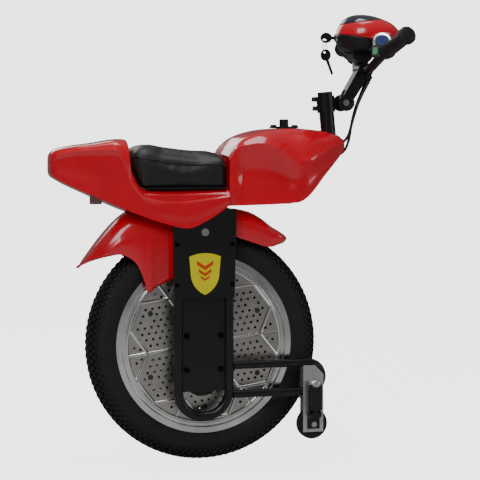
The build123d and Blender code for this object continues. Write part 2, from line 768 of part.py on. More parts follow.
# ---------------------------------------------------------------- body shells
skirt_half_w = panel_y + panel_t + soft_gap + shell_t   # skirts lie against the cover panels
cable_routes = {
    "control_cable": [(423.3, -12, 914.2), (412, -13, 894), (398, -12, 868), (386, -12, 841), (377, -11, 812),
                      (371, -8, 786), (364, -4, 762), (345, 0, 747)],
    "lamp_cable": [(423.3, 12, 914.2), (414, 14, 893), (402, 14, 866), (391, 14, 838), (383, 13, 810),
                   (378, 12, 782), (373, 10, 757), (363, 8, 735), (345, 6, 722), (323, 5, 723)],
}

tail_sections = [   # X, half width, low Z, high Z, corner radius
    (-361, 36, 676, 734, 16), (-345, 44, 668, 741, 20), (-266, 66, 630, 754, 28),
    (-178, 88, 597, 762, 34), (-120, skirt_half_w, 520, 762, 34),
    (-53, skirt_half_w, 490, 762, 34), (split_x, skirt_half_w, 490, 762, 34),
]
tank_sections = [
    (split_x, 84, 606, 724, 22), (82, 97, 608, 770, 26), (150, 105, 609, 786, 26),
    (225, 102, 617, 788, 26), (290, 72, 680, 783, 22), (335, 38, 722, 774, 14), (350, 26, 736, 762, 10),
]


def shell_loft(sections, inset, mode):
    """Ruled loft through rounded rectangles across the body."""
    faces = []
    for x, half_w, low, high, corner in sections:
        with BuildSketch(Plane(origin=(x, 0, 0), x_dir=(0, 1, 0), z_dir=(1, 0, 0))) as section:
            with Locations((0, (low + high) / 2)):
                RectangleRounded(2 * (half_w - inset), high - low - 2 * inset, corner - inset)
        faces.append(section.sketch)
    loft(faces, ruled=True, mode=mode)


def cut_side_view(points, half_depth):
    """Remove everything inside a side-view outline."""
    with BuildSketch(side_plane(-half_depth)) as outline:
        with BuildLine():
            Polyline(*points, close=True)
        make_face()
    extrude(outline.sketch, amount=2 * half_depth, mode=Mode.SUBTRACT)


tail_hole_r = 2.6
tail_hole_spots = [(-252, 10, 615), (-252, -10, 615)]
with BuildPart() as body_shell:
    shell_loft(tail_sections, 0, Mode.ADD)
    inner = [(x + (shell_t if x == -361 else 0), w, low, high, c) for x, w, low, high, c in tail_sections]
    shell_loft(inner, shell_t, Mode.SUBTRACT)
    seat_cut = [(-184, 900), (-184, 712), (-152, seat_low_z - 0.3), (split_x + 1, seat_low_z - 0.3),
                (split_x + 1, 900)]
    cut_side_view(seat_cut, 120)
    cut_side_view([(-188, 596), (-100, 565), (-53, 555), (-8, 572), (split_x + 1, 608),
                   (split_x + 1, 500), (-188, 500)], 120)
    cut_side_view([(-183, 480), (-183, 630), (-96, 630), (-96, 480)], 80)
    cut_side_view([(-97, 480), (-97, 630), (60, 630), (60, 480)], panel_y + panel_t + 0.5)
    with Locations(*tail_hole_spots):
        Cylinder(tail_hole_r + 0.4, 60, mode=Mode.SUBTRACT)
save(body_shell.part, "body_shell")

tray_t = 3.0
with BuildPart() as tank_shell:
    shell_loft(tank_sections, 0, Mode.ADD)
    inner = [(x - (4 if x == 350 else 0), w, low, high, c) for x, w, low, high, c in tank_sections]
    shell_loft(inner, shell_t, Mode.SUBTRACT)
    cut_side_view([(split_x - 1, 600), (split_x - 1, beam_z + 8), (tray_end_x, beam_z + 8),
                   (tray_end_x, 600)], 70)
    with BuildSketch(post_plane(700)):
        Circle(post_r + 0.8)
    extrude(amount=200, mode=Mode.SUBTRACT)
    with Locations((cap_x, 0, cap_z)):
        Cylinder(cap_neck_r + 0.1, 40, mode=Mode.SUBTRACT)
    for points in cable_routes.values():
        inward = Vector(*points[-1]) - Vector(*points[-2])
        with BuildSketch(Plane(origin=points[-1], z_dir=inward)):
            Circle(cable_r + 0.9)
        extrude(amount=16, both=True, mode=Mode.SUBTRACT)
save(tank_shell.part, "tank_shell")

with BuildPart() as under_tray:
    with Locations(((split_x + 4 + tray_end_x) / 2, 0, beam_z - tray_t / 2)):
        Box(tray_end_x - split_x - 5, 139.4, tray_t)
save(under_tray.part, "under_tray")

with BuildPart() as battery_pack:
    with Locations((125, 0, beam_z + beam_h)):
        Box(100, 140, 104, align=(Align.CENTER, Align.CENTER, Align.MIN))
save(battery_pack.part, "battery_pack")

with BuildPart() as controller_box:
    with Locations((column_x, -41, beam_z)):
        Box(96, 40, 26, align=(Align.CENTER, Align.CENTER, Align.MIN))
save(controller_box.part, "controller_box")

seat_front_x, seat_rear_x = 43.0, -150.0
with BuildPart() as seat_pan:
    with Locations(((seat_front_x + seat_rear_x) / 2, 0, seat_low_z)):
        Box(seat_front_x - seat_rear_x, 2 * seat_half_w + 8, seat_pan_t,
            align=(Align.CENTER, Align.CENTER, Align.MAX))
    with Locations((column_x, 0, beam_z + beam_h)):
        Box(40, 2 * beam_half_w, seat_low_z - seat_pan_t - beam_z - beam_h,
            align=(Align.CENTER, Align.CENTER, Align.MIN))
save(seat_pan.part, "seat_pan")

with BuildPart() as seat_cushion:
    with BuildSketch(side_plane(-seat_half_w)):
        with BuildLine():
            Polyline((seat_rear_x, seat_low_z), (seat_front_x - 1, seat_low_z), (seat_front_x, 726),
                     (-30, 731), (-100, 739), (seat_rear_x + 4, 747), (-166, 742), (-180, 714), close=True)
        make_face()
    extrude(amount=2 * seat_half_w)
    with BuildSketch(Plane(origin=(-200, 0, 0), x_dir=(0, 1, 0), z_dir=(1, 0, 0))):
        with BuildLine():
            Polyline((-seat_half_w, seat_low_z), (seat_half_w, seat_low_z), (seat_half_w, 704),
                     (seat_half_w - 16, 750), (16 - seat_half_w, 750), (-seat_half_w, 704), close=True)
        make_face()
    extrude(amount=300, mode=Mode.INTERSECT)
save(seat_cushion.part, "seat_cushion")

with BuildPart() as tail_bracket:
    with BuildSketch(side_plane(-17)):
        with BuildLine():
            Polyline((-264, 628.2), (-240, 619.2), (-240, 610), (-264, 610), close=True)
        make_face()
    extrude(amount=34)
    with Locations(*tail_hole_spots):
        Cylinder(tail_hole_r, 60, mode=Mode.SUBTRACT)
save(tail_bracket.part, "tail_bracket")

with BuildPart() as filler_flange:
    with Locations((cap_x, 0, cap_z)):
        Cylinder(35, 4, align=(Align.CENTER, Align.CENTER, Align.MIN))
        Cylinder(cap_neck_r, 18, align=(Align.CENTER, Align.CENTER, Align.MAX))
    with Locations((cap_x + 27, 0, cap_z + 4), (cap_x - 26, 0, cap_z + 4)):
        Box(12, 12, 4, align=(Align.CENTER, Align.CENTER, Align.MIN))
    with Locations((cap_x, 0, cap_z)):
        Cylinder(5, 60, mode=Mode.SUBTRACT)
save(filler_flange.part, "filler_flange")

with BuildPart() as cap_knob:
    with Locations((cap_x, 0, cap_z + 4.2)):
        Cylinder(11, 17, align=(Align.CENTER, Align.CENTER, Align.MIN))
        Cylinder(5 - running, 20, align=(Align.CENTER, Align.CENTER, Align.MAX))
save(cap_knob.part, "cap_knob")

# ---------------------------------------------------------------- fenders
fender_rear_x = column_x - column_pitch / 2
fender_front_x = column_x + column_pitch / 2
rear_crown = [(-295, 462), (-250, 524), (-186, 590), (-120, 600), (fender_rear_x, 600)]
rear_lower = [(fender_rear_x, 440), (-128, 415), (-141, 403), (-147, 429), (-165, 471), (-193, 493), (-235, 490)]
front_crown = [(fender_front_x, 600), (112, 590), (163, 556), (196, 534), (204, 524)]
front_lower = [(184, 524), (166, 509), (152, 506), (115, 517), (fender_front_x, 540)]


def fender(name, crown, lower, tip_x, wide_x):
    """Arched guard: crown and two side walls, narrowing towards its tip."""
    inward = [(x, z - fender_t) for x, z in crown]
    with BuildPart() as guard:
        with BuildSketch(side_plane(-fender_half_w)):
            with BuildLine():
                Polyline(*crown, *lower, close=True)
            make_face()
        extrude(amount=2 * fender_half_w)
        with BuildSketch(side_plane(-fender_half_w + fender_t)):
            with BuildLine():
                shift = fender_t if tip_x < 0 else -fender_t
                Polyline(*[(x + shift, z - fender_t) for x, z in crown],
                         (crown[-1][0] + shift, 300), (crown[0][0] + shift, 300), close=True)
            make_face()
        extrude(amount=2 * (fender_half_w - fender_t), mode=Mode.SUBTRACT)
    save(guard.part, name)


fender("rear_fender", rear_crown, rear_lower, -295, -150)
fender("front_fender", front_crown, front_lower, 204, 150)

# ---------------------------------------------------------------- forward arms, brackets, roller, pegs
arm_half_h = (arm_high_z - arm_low_z) / 2


def peg_knuckle(name):
    """Plane across a footpeg's hinge pin; local x is Y, local y is Z."""
    return Plane(origin=(0, SIDES[name] * peg_y, pivot_z[name]), x_dir=(0, 1, 0), z_dir=(1, 0, 0))


arm_end_x = 288 - arm_r - arm_half_h
bracket_low_z = {"right": 66.0, "left": 122.0}
pivot_z = {"right": peg_pivot_z, "left": 160.0}
plate_in = column_y + arm_r                # inner face of the outer bracket plates
with BuildPart() as arm_tubes:
    for side in SIDES.values():
        with BuildLine(side_plane(column_y, side)) as arm_path:
            mid_z = (arm_high_z + arm_low_z) / 2
            Line((arm_root_x, arm_high_z), (arm_end_x, arm_high_z))
            ThreePointArc((arm_end_x, arm_high_z), (arm_end_x + arm_half_h, mid_z), (arm_end_x, arm_low_z))
            Line((arm_end_x, arm_low_z), (arm_root_x, arm_low_z))
        with BuildSketch(Plane(origin=(arm_root_x, side * column_y, arm_high_z), z_dir=(1, 0, 0))):
            Circle(arm_r)
            Circle(arm_r - 2, mode=Mode.SUBTRACT)
        sweep(path=arm_path.wires()[0])
        with BuildSketch(Plane(origin=(column_x + column_pitch / 2, side * column_y, 0))):
            Circle(column_tube_r)
        extrude(amount=400, mode=Mode.SUBTRACT)
save(arm_tubes.part, "arm_tubes")

for name, side in SIDES.items():

    low = bracket_low_z[name]
    with BuildPart() as bracket:
        for y in (plate_in, column_y - arm_r - bracket_t):
            with BuildSketch(side_plane(y, side)):
                with BuildLine():
                    x0, x1 = support_x - bracket_w / 2, support_x + bracket_w / 2
                    Polyline((x0, low), (x1, low), (x1, bracket_high_z - 22), (x1 - 21, bracket_high_z),
                             (x0, bracket_high_z), close=True)
                make_face()
                if name == "right":
                    with Locations((support_x, support_z)):
                        Circle(4, mode=Mode.SUBTRACT)
            extrude(amount=outward(side, bracket_t))
        with Locations((support_x - 17, side * column_y, (arm_high_z + arm_low_z) / 2)):
            Box(16, 2 * arm_r, 2 * (arm_half_h - arm_r) - 0.4)
    save(bracket.part, f"bracket_{name}")

    knuckle = peg_knuckle(name)

    with BuildPart() as footpeg:
        with BuildSketch(knuckle.offset(support_x - 7.7)):
            Circle(7.5)
            with Locations((0, 9)):
                Rectangle(12, 18)
            Circle(3 + running, mode=Mode.SUBTRACT)
        extrude(amount=15.4)
        with Locations((support_x, side * (peg_y + 2.6), pivot_z[name] + 11)):
            Box(peg_w, peg_t, peg_l, align=(Align.CENTER, Align.CENTER, Align.MIN))
        fillet(footpeg.edges().filter_by(Axis.Z).filter_by(lambda e: e.length > peg_l - 1), 6)
    save(footpeg.part, f"footpeg_{name}")

with BuildPart() as peg_hinges:
    for name, side in SIDES.items():
        knuckle = peg_knuckle(name)
        reach = peg_y - plate_in - bracket_t
        for dx in (-14, 8):
            with BuildSketch(knuckle.offset(support_x + dx)):
                Circle(8)
                with Locations((side * -reach / 2, 0)):
                    Rectangle(reach, 16)
            extrude(amount=6)
        with BuildSketch(knuckle.offset(support_x - 16)):
            Circle(3)
        extrude(amount=32)
        with Locations((support_x, side * (plate_in + bracket_t + hinge_base_t / 2), pivot_z[name] + 8)):
            Box(30, hinge_base_t, 44, align=(Align.CENTER, Align.CENTER, Align.MAX))
    with BuildSketch(side_plane(plate_in, -1)):
        with Locations((support_x, support_z)):
            Circle(4)
    extrude(amount=30, mode=Mode.SUBTRACT)
save(peg_hinges.part, "peg_hinges")

roller_half = roller_w / 2
with BuildPart() as support_roller:
    with BuildSketch(side_plane(column_y - roller_half, -1)):
        with Locations((support_x, support_z)):
            Circle(roller_r)
            Circle(4 + running, mode=Mode.SUBTRACT)
    extrude(amount=roller_w)
    fillet(support_roller.edges().filter_by(GeomType.CIRCLE).filter_by(lambda e: e.radius > 30), 3)
save(support_roller.part, "support_roller")


with BuildPart() as pivot_bolts:
    with BuildSketch(side_plane(-arm_half_w - 1)):
        with Locations(pivot):
            Circle(4.9)
    extrude(amount=2 * arm_half_w + 2)
    for side in SIDES.values():
        with BuildSketch(side_plane(arm_half_w + soft_gap, side)):
            with Locations(pivot):
                Circle(8)
        extrude(amount=outward(side, 4))
    with BuildSketch(side_plane(column_y - arm_r - bracket_t, -1)):
        with Locations((support_x, support_z)):
            Circle(4)
    extrude(amount=2 * arm_r + 2 * bracket_t + hinge_base_t)
    for y, depth in ((plate_in + bracket_t + hinge_base_t, 5), (column_y - arm_r - bracket_t, -4)):
        with BuildSketch(side_plane(y, -1)):
            with Locations((support_x, support_z)):
                Circle(6.5)
        extrude(amount=depth)
save(pivot_bolts.part, "pivot_bolts")

# ---------------------------------------------------------------- control cables


def bend_radii(points):
    """Largest arc at each corner that both neighbouring runs allow."""
    radii = []
    for a, b, c in zip(points, points[1:], points[2:]):
        u, v = Vector(*b) - Vector(*a), Vector(*c) - Vector(*b)
        turn = radians(u.get_angle(v))
        radii.append(0.45 * min(u.length, v.length) / tan(turn / 2))
    return radii


for name, points in cable_routes.items():
    radii = bend_radii(points)
    print(name, "bend radii", [round(r, 1) for r in radii])
    with BuildPart() as cable:
        with BuildLine() as cable_path:
            FilletPolyline(*points, radius=radii)
        start = Vector(*points[1]) - Vector(*points[0])
        with BuildSketch(Plane(origin=points[0], z_dir=start)):
            Circle(cable_r)
        sweep(path=cable_path.wires()[0])
    length = cable_path.wires()[0].length
    print(name, "length", round(length, 1), "volume ratio",
          round(cable.part.volume / (length * 3.14159265 * cable_r ** 2), 4))
    save(cable.part, name)
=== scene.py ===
import math

import bmesh
import bpy
import numpy as np
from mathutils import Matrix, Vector


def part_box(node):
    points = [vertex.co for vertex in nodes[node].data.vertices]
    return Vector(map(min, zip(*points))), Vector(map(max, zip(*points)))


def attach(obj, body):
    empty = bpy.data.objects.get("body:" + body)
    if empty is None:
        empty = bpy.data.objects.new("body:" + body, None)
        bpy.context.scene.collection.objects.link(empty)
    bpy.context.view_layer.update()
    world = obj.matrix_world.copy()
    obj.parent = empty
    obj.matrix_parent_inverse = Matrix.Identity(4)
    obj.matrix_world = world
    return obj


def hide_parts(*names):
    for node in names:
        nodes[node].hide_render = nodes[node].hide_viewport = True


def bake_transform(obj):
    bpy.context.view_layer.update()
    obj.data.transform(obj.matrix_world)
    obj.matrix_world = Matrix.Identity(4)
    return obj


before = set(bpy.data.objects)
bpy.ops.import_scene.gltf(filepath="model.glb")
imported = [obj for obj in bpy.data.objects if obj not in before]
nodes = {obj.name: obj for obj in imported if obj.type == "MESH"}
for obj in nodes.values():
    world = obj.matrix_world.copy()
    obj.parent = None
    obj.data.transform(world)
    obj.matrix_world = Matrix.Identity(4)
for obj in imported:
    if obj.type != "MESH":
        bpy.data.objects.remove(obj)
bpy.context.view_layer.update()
mm = 0.001

# Camera, floor and lights.
# A long lens stands to the rider's right, a little behind, at saddle height. The floor is a wide pale dish
# that turns up far from the machine, under four soft square lamps: key, roof, fill and rear.
azimuth, elevation = math.radians(-15), math.radians(3.5)
camera_distance, lens_length = 3.511, 110
aim = Vector((0.096, 0.0, 0.521))
back = Vector((math.sin(azimuth) * math.cos(elevation),
               -math.cos(azimuth) * math.cos(elevation), math.sin(elevation)))
camera = bpy.data.objects.new("camera", bpy.data.cameras.new("camera"))
camera.data.lens = lens_length
camera.location = aim + back * camera_distance
camera.rotation_euler = (-back).to_track_quat("-Z", "Y").to_euler()
bpy.context.collection.objects.link(camera)
bpy.context.scene.camera = camera


def woven_faces(rows, columns, round_rows=False, round_columns=False):
    """Quads of a grid of rows x columns points; a round direction joins its last line to its first."""
    i = np.arange(rows if round_rows else rows - 1)[:, None]
    j = np.arange(columns if round_columns else columns - 1)[None, :]
    a = i * columns + j
    b = i * columns + (j + 1) % columns
    c = (i + 1) % rows * columns + (j + 1) % columns
    d = (i + 1) % rows * columns + j
    return np.stack(np.broadcast_arrays(a, b, c, d), axis=-1).reshape(-1, 4)


def turned(profile, around=160, centre=(0.0, 0.0)):
    """Surface of a profile (axial y, radius r) turned about the Y line through centre (x, z), in mm."""
    turn = np.linspace(0, 2 * np.pi, around, endpoint=False)[:, None]
    y, r = np.asarray(profile, float).T
    return np.stack([centre[0] + r * np.cos(turn), np.broadcast_to(y, (around, len(y))),
                     centre[1] + r * np.sin(turn)], axis=-1)


def through(points, steps, corners=()):
    """Smooth line through the rows of points: a cubic on each span, whose end slopes are half the chord
    between the neighbouring points, or the span's own chord at a corner."""
    p = np.asarray(points, float)
    slope = np.empty_like(p)
    slope[1:-1] = (p[2:] - p[:-2]) / 2
    slope[0], slope[-1] = p[1] - p[0], p[-1] - p[-2]
    arriving, leaving = slope.copy(), slope.copy()
    for c in corners:
        arriving[c], leaving[c] = p[c] - p[c - 1], p[c + 1] - p[c]
    t = (np.arange(steps) / steps).reshape((1, steps) + (1,) * (p.ndim - 1))
    spans = ((2 * t**3 - 3 * t**2 + 1) * p[:-1, None] + (t**3 - 2 * t**2 + t) * leaving[:-1, None]
             + (3 * t**2 - 2 * t**3) * p[1:, None] + (t**3 - t**2) * arriving[1:, None])
    return np.concatenate([spans.reshape((-1,) + p.shape[1:]), p[-1:]])


merge_distance = 1e-5


def piece(name, surfaces, material, body, sharp=35, tidy=False):
    """One object from (points in mm, faces) pairs, smooth but for edges sharper than the angle. Tidy
    merges doubled points and turns every face outwards."""
    points, faces, start = [], [], 0
    for p, f in surfaces:
        p = np.asarray(p, float).reshape(-1, 3)
        points.append(p)
        faces += [[int(v) + start for v in face] for face in f]
        start += len(p)
    mesh = bpy.data.meshes.new(name)
    mesh.from_pydata((np.concatenate(points) * mm).tolist(), [], faces)
    if tidy:
        work = bmesh.new()
        work.from_mesh(mesh)
        bmesh.ops.remove_doubles(work, verts=work.verts, dist=merge_distance)
        bmesh.ops.recalc_face_normals(work, faces=work.faces)
        work.to_mesh(mesh)
        work.free()
    mesh.polygons.foreach_set("use_smooth", [True] * len(mesh.polygons))
    mesh.set_sharp_from_angle(angle=math.radians(sharp))
    mesh.materials.append(material)
    made = bpy.data.objects.new(name, mesh)
    bpy.context.collection.objects.link(made)
    if body:
        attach(made, body)
    return made


def new_group(name, inputs, outputs):
    """An empty shader node group with named float or colour sockets, and its input and output nodes."""
    group = bpy.data.node_groups.new(name, "ShaderNodeTree")
    for label, kind in inputs:
        group.interface.new_socket(label, in_out="INPUT", socket_type=kind)
    for label, kind in outputs:
        group.interface.new_socket(label, in_out="OUTPUT", socket_type=kind)
    return group, group.nodes.new("NodeGroupInput"), group.nodes.new("NodeGroupOutput")


# Handled surface: broad tone changes and a fine grain, as every moulded, painted or plated piece of a used
# machine shows.
handled, given, out = new_group(
    "handled_surface",
    [("Colour", "NodeSocketColor"), ("Roughness", "NodeSocketFloat"), ("Spread", "NodeSocketFloat"),
     ("Grain", "NodeSocketFloat")],
    [("Colour", "NodeSocketColor"), ("Roughness", "NodeSocketFloat"), ("Height", "NodeSocketFloat")])
place = handled.nodes.new("ShaderNodeTexCoord")
broad = handled.nodes.new("ShaderNodeTexNoise")
broad.inputs["Scale"].default_value = 11
broad.inputs["Detail"].default_value = 5
fine = handled.nodes.new("ShaderNodeTexNoise")
fine.inputs["Detail"].default_value = 3
tone = handled.nodes.new("ShaderNodeMapRange")
tone.inputs["From Min"].default_value = 0.3
tone.inputs["From Max"].default_value = 0.7
tone.inputs["To Min"].default_value = -0.5
tone.inputs["To Max"].default_value = 0.5
swing = handled.nodes.new("ShaderNodeMath")
swing.operation = "MULTIPLY_ADD"
swing.inputs[2].default_value = 1.0
shade = handled.nodes.new("ShaderNodeHueSaturation")
gloss = handled.nodes.new("ShaderNodeMath")
gloss.operation = "MULTIPLY"
join = handled.links.new
join(place.outputs["Object"], broad.inputs["Vector"])
join(place.outputs["Object"], fine.inputs["Vector"])
join(given.outputs["Grain"], fine.inputs["Scale"])
join(broad.outputs["Fac"], tone.inputs["Value"])
join(tone.outputs["Result"], swing.inputs[0])
join(given.outputs["Spread"], swing.inputs[1])
join(swing.outputs[0], shade.inputs["Value"])
join(given.outputs["Colour"], shade.inputs["Color"])
join(given.outputs["Roughness"], gloss.inputs[0])
join(swing.outputs[0], gloss.inputs[1])
join(shade.outputs["Color"], out.inputs["Colour"])
join(gloss.outputs[0], out.inputs["Roughness"])
join(fine.outputs["Fac"], out.inputs["Height"])


def finish(name, colour, rough, metal=0.0, coat=0.0, spread=0.25, grain=500.0, bump=0.15, depth=0.0004,
           coat_rough=0.05):
    """A material with the handled surface: its colour, gloss and grain, plus metal or a clear coat."""
    made = bpy.data.materials.new(name)
    made.use_nodes = True
    tree = made.node_tree
    shader = tree.nodes["Principled BSDF"]
    shader.inputs["Metallic"].default_value = metal
    shader.inputs["Coat Weight"].default_value = coat
    shader.inputs["Coat Roughness"].default_value = coat_rough
    surface = tree.nodes.new("ShaderNodeGroup")
    surface.node_tree = handled
    surface.inputs["Colour"].default_value = (*colour, 1)
    surface.inputs["Roughness"].default_value = rough
    surface.inputs["Spread"].default_value = spread
    surface.inputs["Grain"].default_value = grain
    relief = tree.nodes.new("ShaderNodeBump")
    relief.inputs["Strength"].default_value = bump
    relief.inputs["Distance"].default_value = depth
    tree.links.new(surface.outputs["Colour"], shader.inputs["Base Color"])
    tree.links.new(surface.outputs["Roughness"], shader.inputs["Roughness"])
    tree.links.new(surface.outputs["Height"], relief.inputs["Height"])
    tree.links.new(relief.outputs["Normal"], shader.inputs["Normal"])
    return made


def paint_nodes(material, *names):
    """Gives CAD nodes their finish."""
    for name in names:
        mesh = nodes[name].data
        mesh.materials.clear()
        mesh.materials.append(material)


floor_line = [(0, 0), (2000, 0), (4500, 0), (6000, 250), (7200, 1000), (8000, 2400), (8300, 4500), (8300, 6500)]
floor_around, floor_glow_strength, room_light = 72, 3.0, 0.2
dish = through(floor_line, 6)
angle = np.linspace(0, 2 * np.pi, floor_around, endpoint=False)[:, None]
dish_points = np.stack([dish[:, 0] * np.cos(angle), dish[:, 0] * np.sin(angle),
                        np.broadcast_to(dish[:, 1], (floor_around, len(dish)))], axis=-1)
floor_mesh = bpy.data.meshes.new("floor")
floor_mesh.from_pydata((dish_points.reshape(-1, 3) * mm).tolist(), [],
                       woven_faces(floor_around, len(dish), round_rows=True)[:, ::-1].tolist())
floor_mesh.polygons.foreach_set("use_smooth", [True] * len(floor_mesh.polygons))
floor_paint = finish("studio_floor", (0.6, 0.6, 0.6), 0.8, spread=0.01, bump=0.02)
floor_tree = floor_paint.node_tree
floor_shader = floor_tree.nodes["Principled BSDF"]
floor_shader.inputs["Emission Color"].default_value = (1, 1, 1, 1)
seen_directly = floor_tree.nodes.new("ShaderNodeLightPath")
floor_glow = floor_tree.nodes.new("ShaderNodeMath")
floor_glow.operation = "MULTIPLY"
floor_glow.inputs[1].default_value = floor_glow_strength
floor_tree.links.new(seen_directly.outputs["Is Camera Ray"], floor_glow.inputs[0])
floor_tree.links.new(floor_glow.outputs[0], floor_shader.inputs["Emission Strength"])
floor_mesh.materials.append(floor_paint)
floor = bpy.data.objects.new("floor", floor_mesh)
bpy.context.collection.objects.link(floor)

world = bpy.data.worlds.new("studio")
bpy.context.scene.world = world
world.use_nodes = True
room = world.node_tree.nodes["Background"]
room.inputs["Color"].default_value = (1, 1, 1, 1)
room.inputs["Strength"].default_value = room_light
lamps_point_at = Vector((0.05, 0, 0.5))
for name, where, size, power in (
        ("key_lamp", (-1.6, -2.6, 2.7), 1.5, 42), ("roof_lamp", (0.1, -0.1, 3.0), 1.3, 22),
        ("fill_lamp", (2.6, -1.6, 1.2), 1.0, 7), ("rear_lamp", (-0.6, 2.8, 2.2), 1.5, 18)):
    lamp = bpy.data.lights.new(name, "AREA")
    lamp.size, lamp.energy = size, power
    stand = bpy.data.objects.new(name, lamp)
    stand.location = where
    stand.rotation_euler = (lamps_point_at - Vector(where)).to_track_quat("-Z", "Y").to_euler()
    bpy.context.collection.objects.link(stand)

# Cables: the control cable and the lamp cable.
# Two rubber-sheathed leads, 7 mm thick, run down from the head bracket in front of the stem and into the tank.
cable_rubber = finish("cable_rubber", (0.012, 0.012, 0.013), 0.38, spread=0.3, grain=900, bump=0.1)
cable_routes = {
    "control_cable": [(423.3, -12, 914.2), (412, -13, 894), (398, -12, 868), (386, -12, 841),
                      (377, -11, 812), (371, -8, 786), (364, -4, 762), (345, 0, 747)],
    "lamp_cable": [(423.3, 12, 914.2), (414, 14, 893), (402, 14, 866), (391, 14, 838), (383, 13, 810),
                   (378, 12, 782), (373, 10, 757), (363, 8, 735), (345, 6, 722), (323, 5, 723)]}
cable_r = 3.5


def spline_path(name, route):
    """Points along a smooth NURBS spline whose control points are the route's, in mm."""
    curve = bpy.data.curves.new(name + "_line", "CURVE")
    curve.dimensions = "3D"
    curve.resolution_u = 8
    spline = curve.splines.new("NURBS")
    spline.points.add(len(route) - 1)
    spline.points.foreach_set("co", np.column_stack([route, np.ones(len(route))]).ravel())
    spline.order_u = 3
    spline.use_endpoint_u = True
    holder = bpy.data.objects.new(name + "_line", curve)
    line = bpy.data.meshes.new_from_object(holder)
    points = np.empty(len(line.vertices) * 3)
    line.vertices.foreach_get("co", points)
    bpy.data.objects.remove(holder)
    return points.reshape(-1, 3)


def hose(path, radius, around=14):
    """Round tube: a circle of the radius set square to the path at each of its points, with closed ends."""
    ahead = np.gradient(path, axis=0)
    ahead /= np.linalg.norm(ahead, axis=1)[:, None]
    side = np.cross(ahead, (0, 1, 0))
    side /= np.linalg.norm(side, axis=1)[:, None]
    up = np.cross(side, ahead)
    turn = np.linspace(0, 2 * np.pi, around, endpoint=False)[None, :, None]
    radius = np.broadcast_to(radius, (len(path),))[:, None, None]
    ring = path[:, None] + radius * (np.cos(turn) * side[:, None] + np.sin(turn) * up[:, None])
    faces = woven_faces(len(path), around, round_columns=True).tolist()
    last = (len(path) - 1) * around
    faces += [list(range(around)), list(range(last + around - 1, last - 1, -1))]
    return ring, faces


for name, route in cable_routes.items():
    path = spline_path(name, route)
    cable = piece(name + "_sheath", [hose(path, cable_r)], cable_rubber, None, tidy=True)
    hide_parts(name)
    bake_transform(cable)

# Tyre and inner tube.
# A 3.00-16 block-tread tyre of black rubber: a moulded carcass with two fine ribs low on each sidewall,
# and rows of rubber blocks over the crown and down both shoulders.
tyre_rubber = finish("tyre_rubber", (0.011, 0.011, 0.012), 0.6, spread=0.45, grain=260, bump=0.5,
                     depth=0.0006)
axle_z, tyre_half_w, tread_r = 279.0, 42.0, 272
rib_height, rib_radii, rib_starts_at = 0.9, (222, 229), 30
side_half = [(0, 272.6), (12, 272.0), (22, 269.6), (31, 264.6), (37.5, 256.4), (41, 246), (41.8, 236),
             (40.6, 227), (38.6, 220), (36.6, 215), (35.6, 210), (33, 205), (29, 203)]
arch = through(side_half, 4)
rib_lift = rib_height * sum(np.exp(-(arch[:, 1] - rib_r)**2) for rib_r in rib_radii)
arch[:, 0] += np.where(arch[:, 0] > rib_starts_at, rib_lift, 0)
arch[:, 0] = np.minimum(arch[:, 0], tyre_half_w)
section = np.concatenate([arch[::-1] * (-1, 1), arch[1:], [(26, 206), (-26, 206)]])
carcass = turned(section, 200, (0, axle_z))

block_count = 104
arch_line = through(side_half, 12)
arch_length = np.concatenate([[0], np.cumsum(np.linalg.norm(np.diff(arch_line, axis=0), axis=1))])


def on_arch(distance):
    """Point (y, r) and outward normal at a distance along the section from the crown; minus is the right side."""
    s = np.abs(distance)
    y, r = np.interp(s, arch_length, arch_line[:, 0]), np.interp(s, arch_length, arch_line[:, 1])
    y2 = np.interp(s + 1, arch_length, arch_line[:, 0])
    r2 = np.interp(s + 1, arch_length, arch_line[:, 1])
    run = np.hypot(y2 - y, r2 - r)
    way = np.sign(distance) + (distance == 0)
    return way * y, r, -way * (r2 - r) / run, (y2 - y) / run


def tread_blocks(rows):
    """Rubber blocks: each row gives distance from the crown, width, length, height and phase. A block is three
    rings of four corners: its foot, its top edge and, drawn in a little, its worn top."""
    corner_a = np.array([-1, 1, 1, -1])
    corner_s = np.array([-1, -1, 1, 1])
    rings = [(1.0, -1.2), (0.92, 0.74), (0.74, 1.0)]
    found, faces = [], []
    block = np.array([[0, 1, 5, 4], [1, 2, 6, 5], [2, 3, 7, 6], [3, 0, 4, 7], [4, 5, 9, 8], [5, 6, 10, 9],
                      [6, 7, 11, 10], [7, 4, 8, 11], [8, 9, 10, 11]])
    for at, wide, long, high, phase in rows:
        turn = (np.arange(block_count) + phase) * 2 * np.pi / block_count
        corners = []
        for shrink, lift in rings:
            y, r, ny, nr = on_arch(at + corner_s * wide / 2 * shrink)
            rise = lift if lift < 0 else lift * high
            y, r = y + ny * rise, r + nr * rise
            around = turn[:, None] + corner_a * long / 2 * shrink / tread_r
            corners.append(np.stack([r * np.cos(around), np.broadcast_to(y, around.shape),
                                     axle_z + r * np.sin(around)], axis=-1))
        row = np.concatenate(corners, axis=1)
        faces.append(block[None] + (np.arange(block_count) * 12)[:, None, None] + len(found) * block_count * 12)
        found.append(row.reshape(-1, 3))
    return np.concatenate(found), np.concatenate([f.reshape(-1, 4) for f in faces])


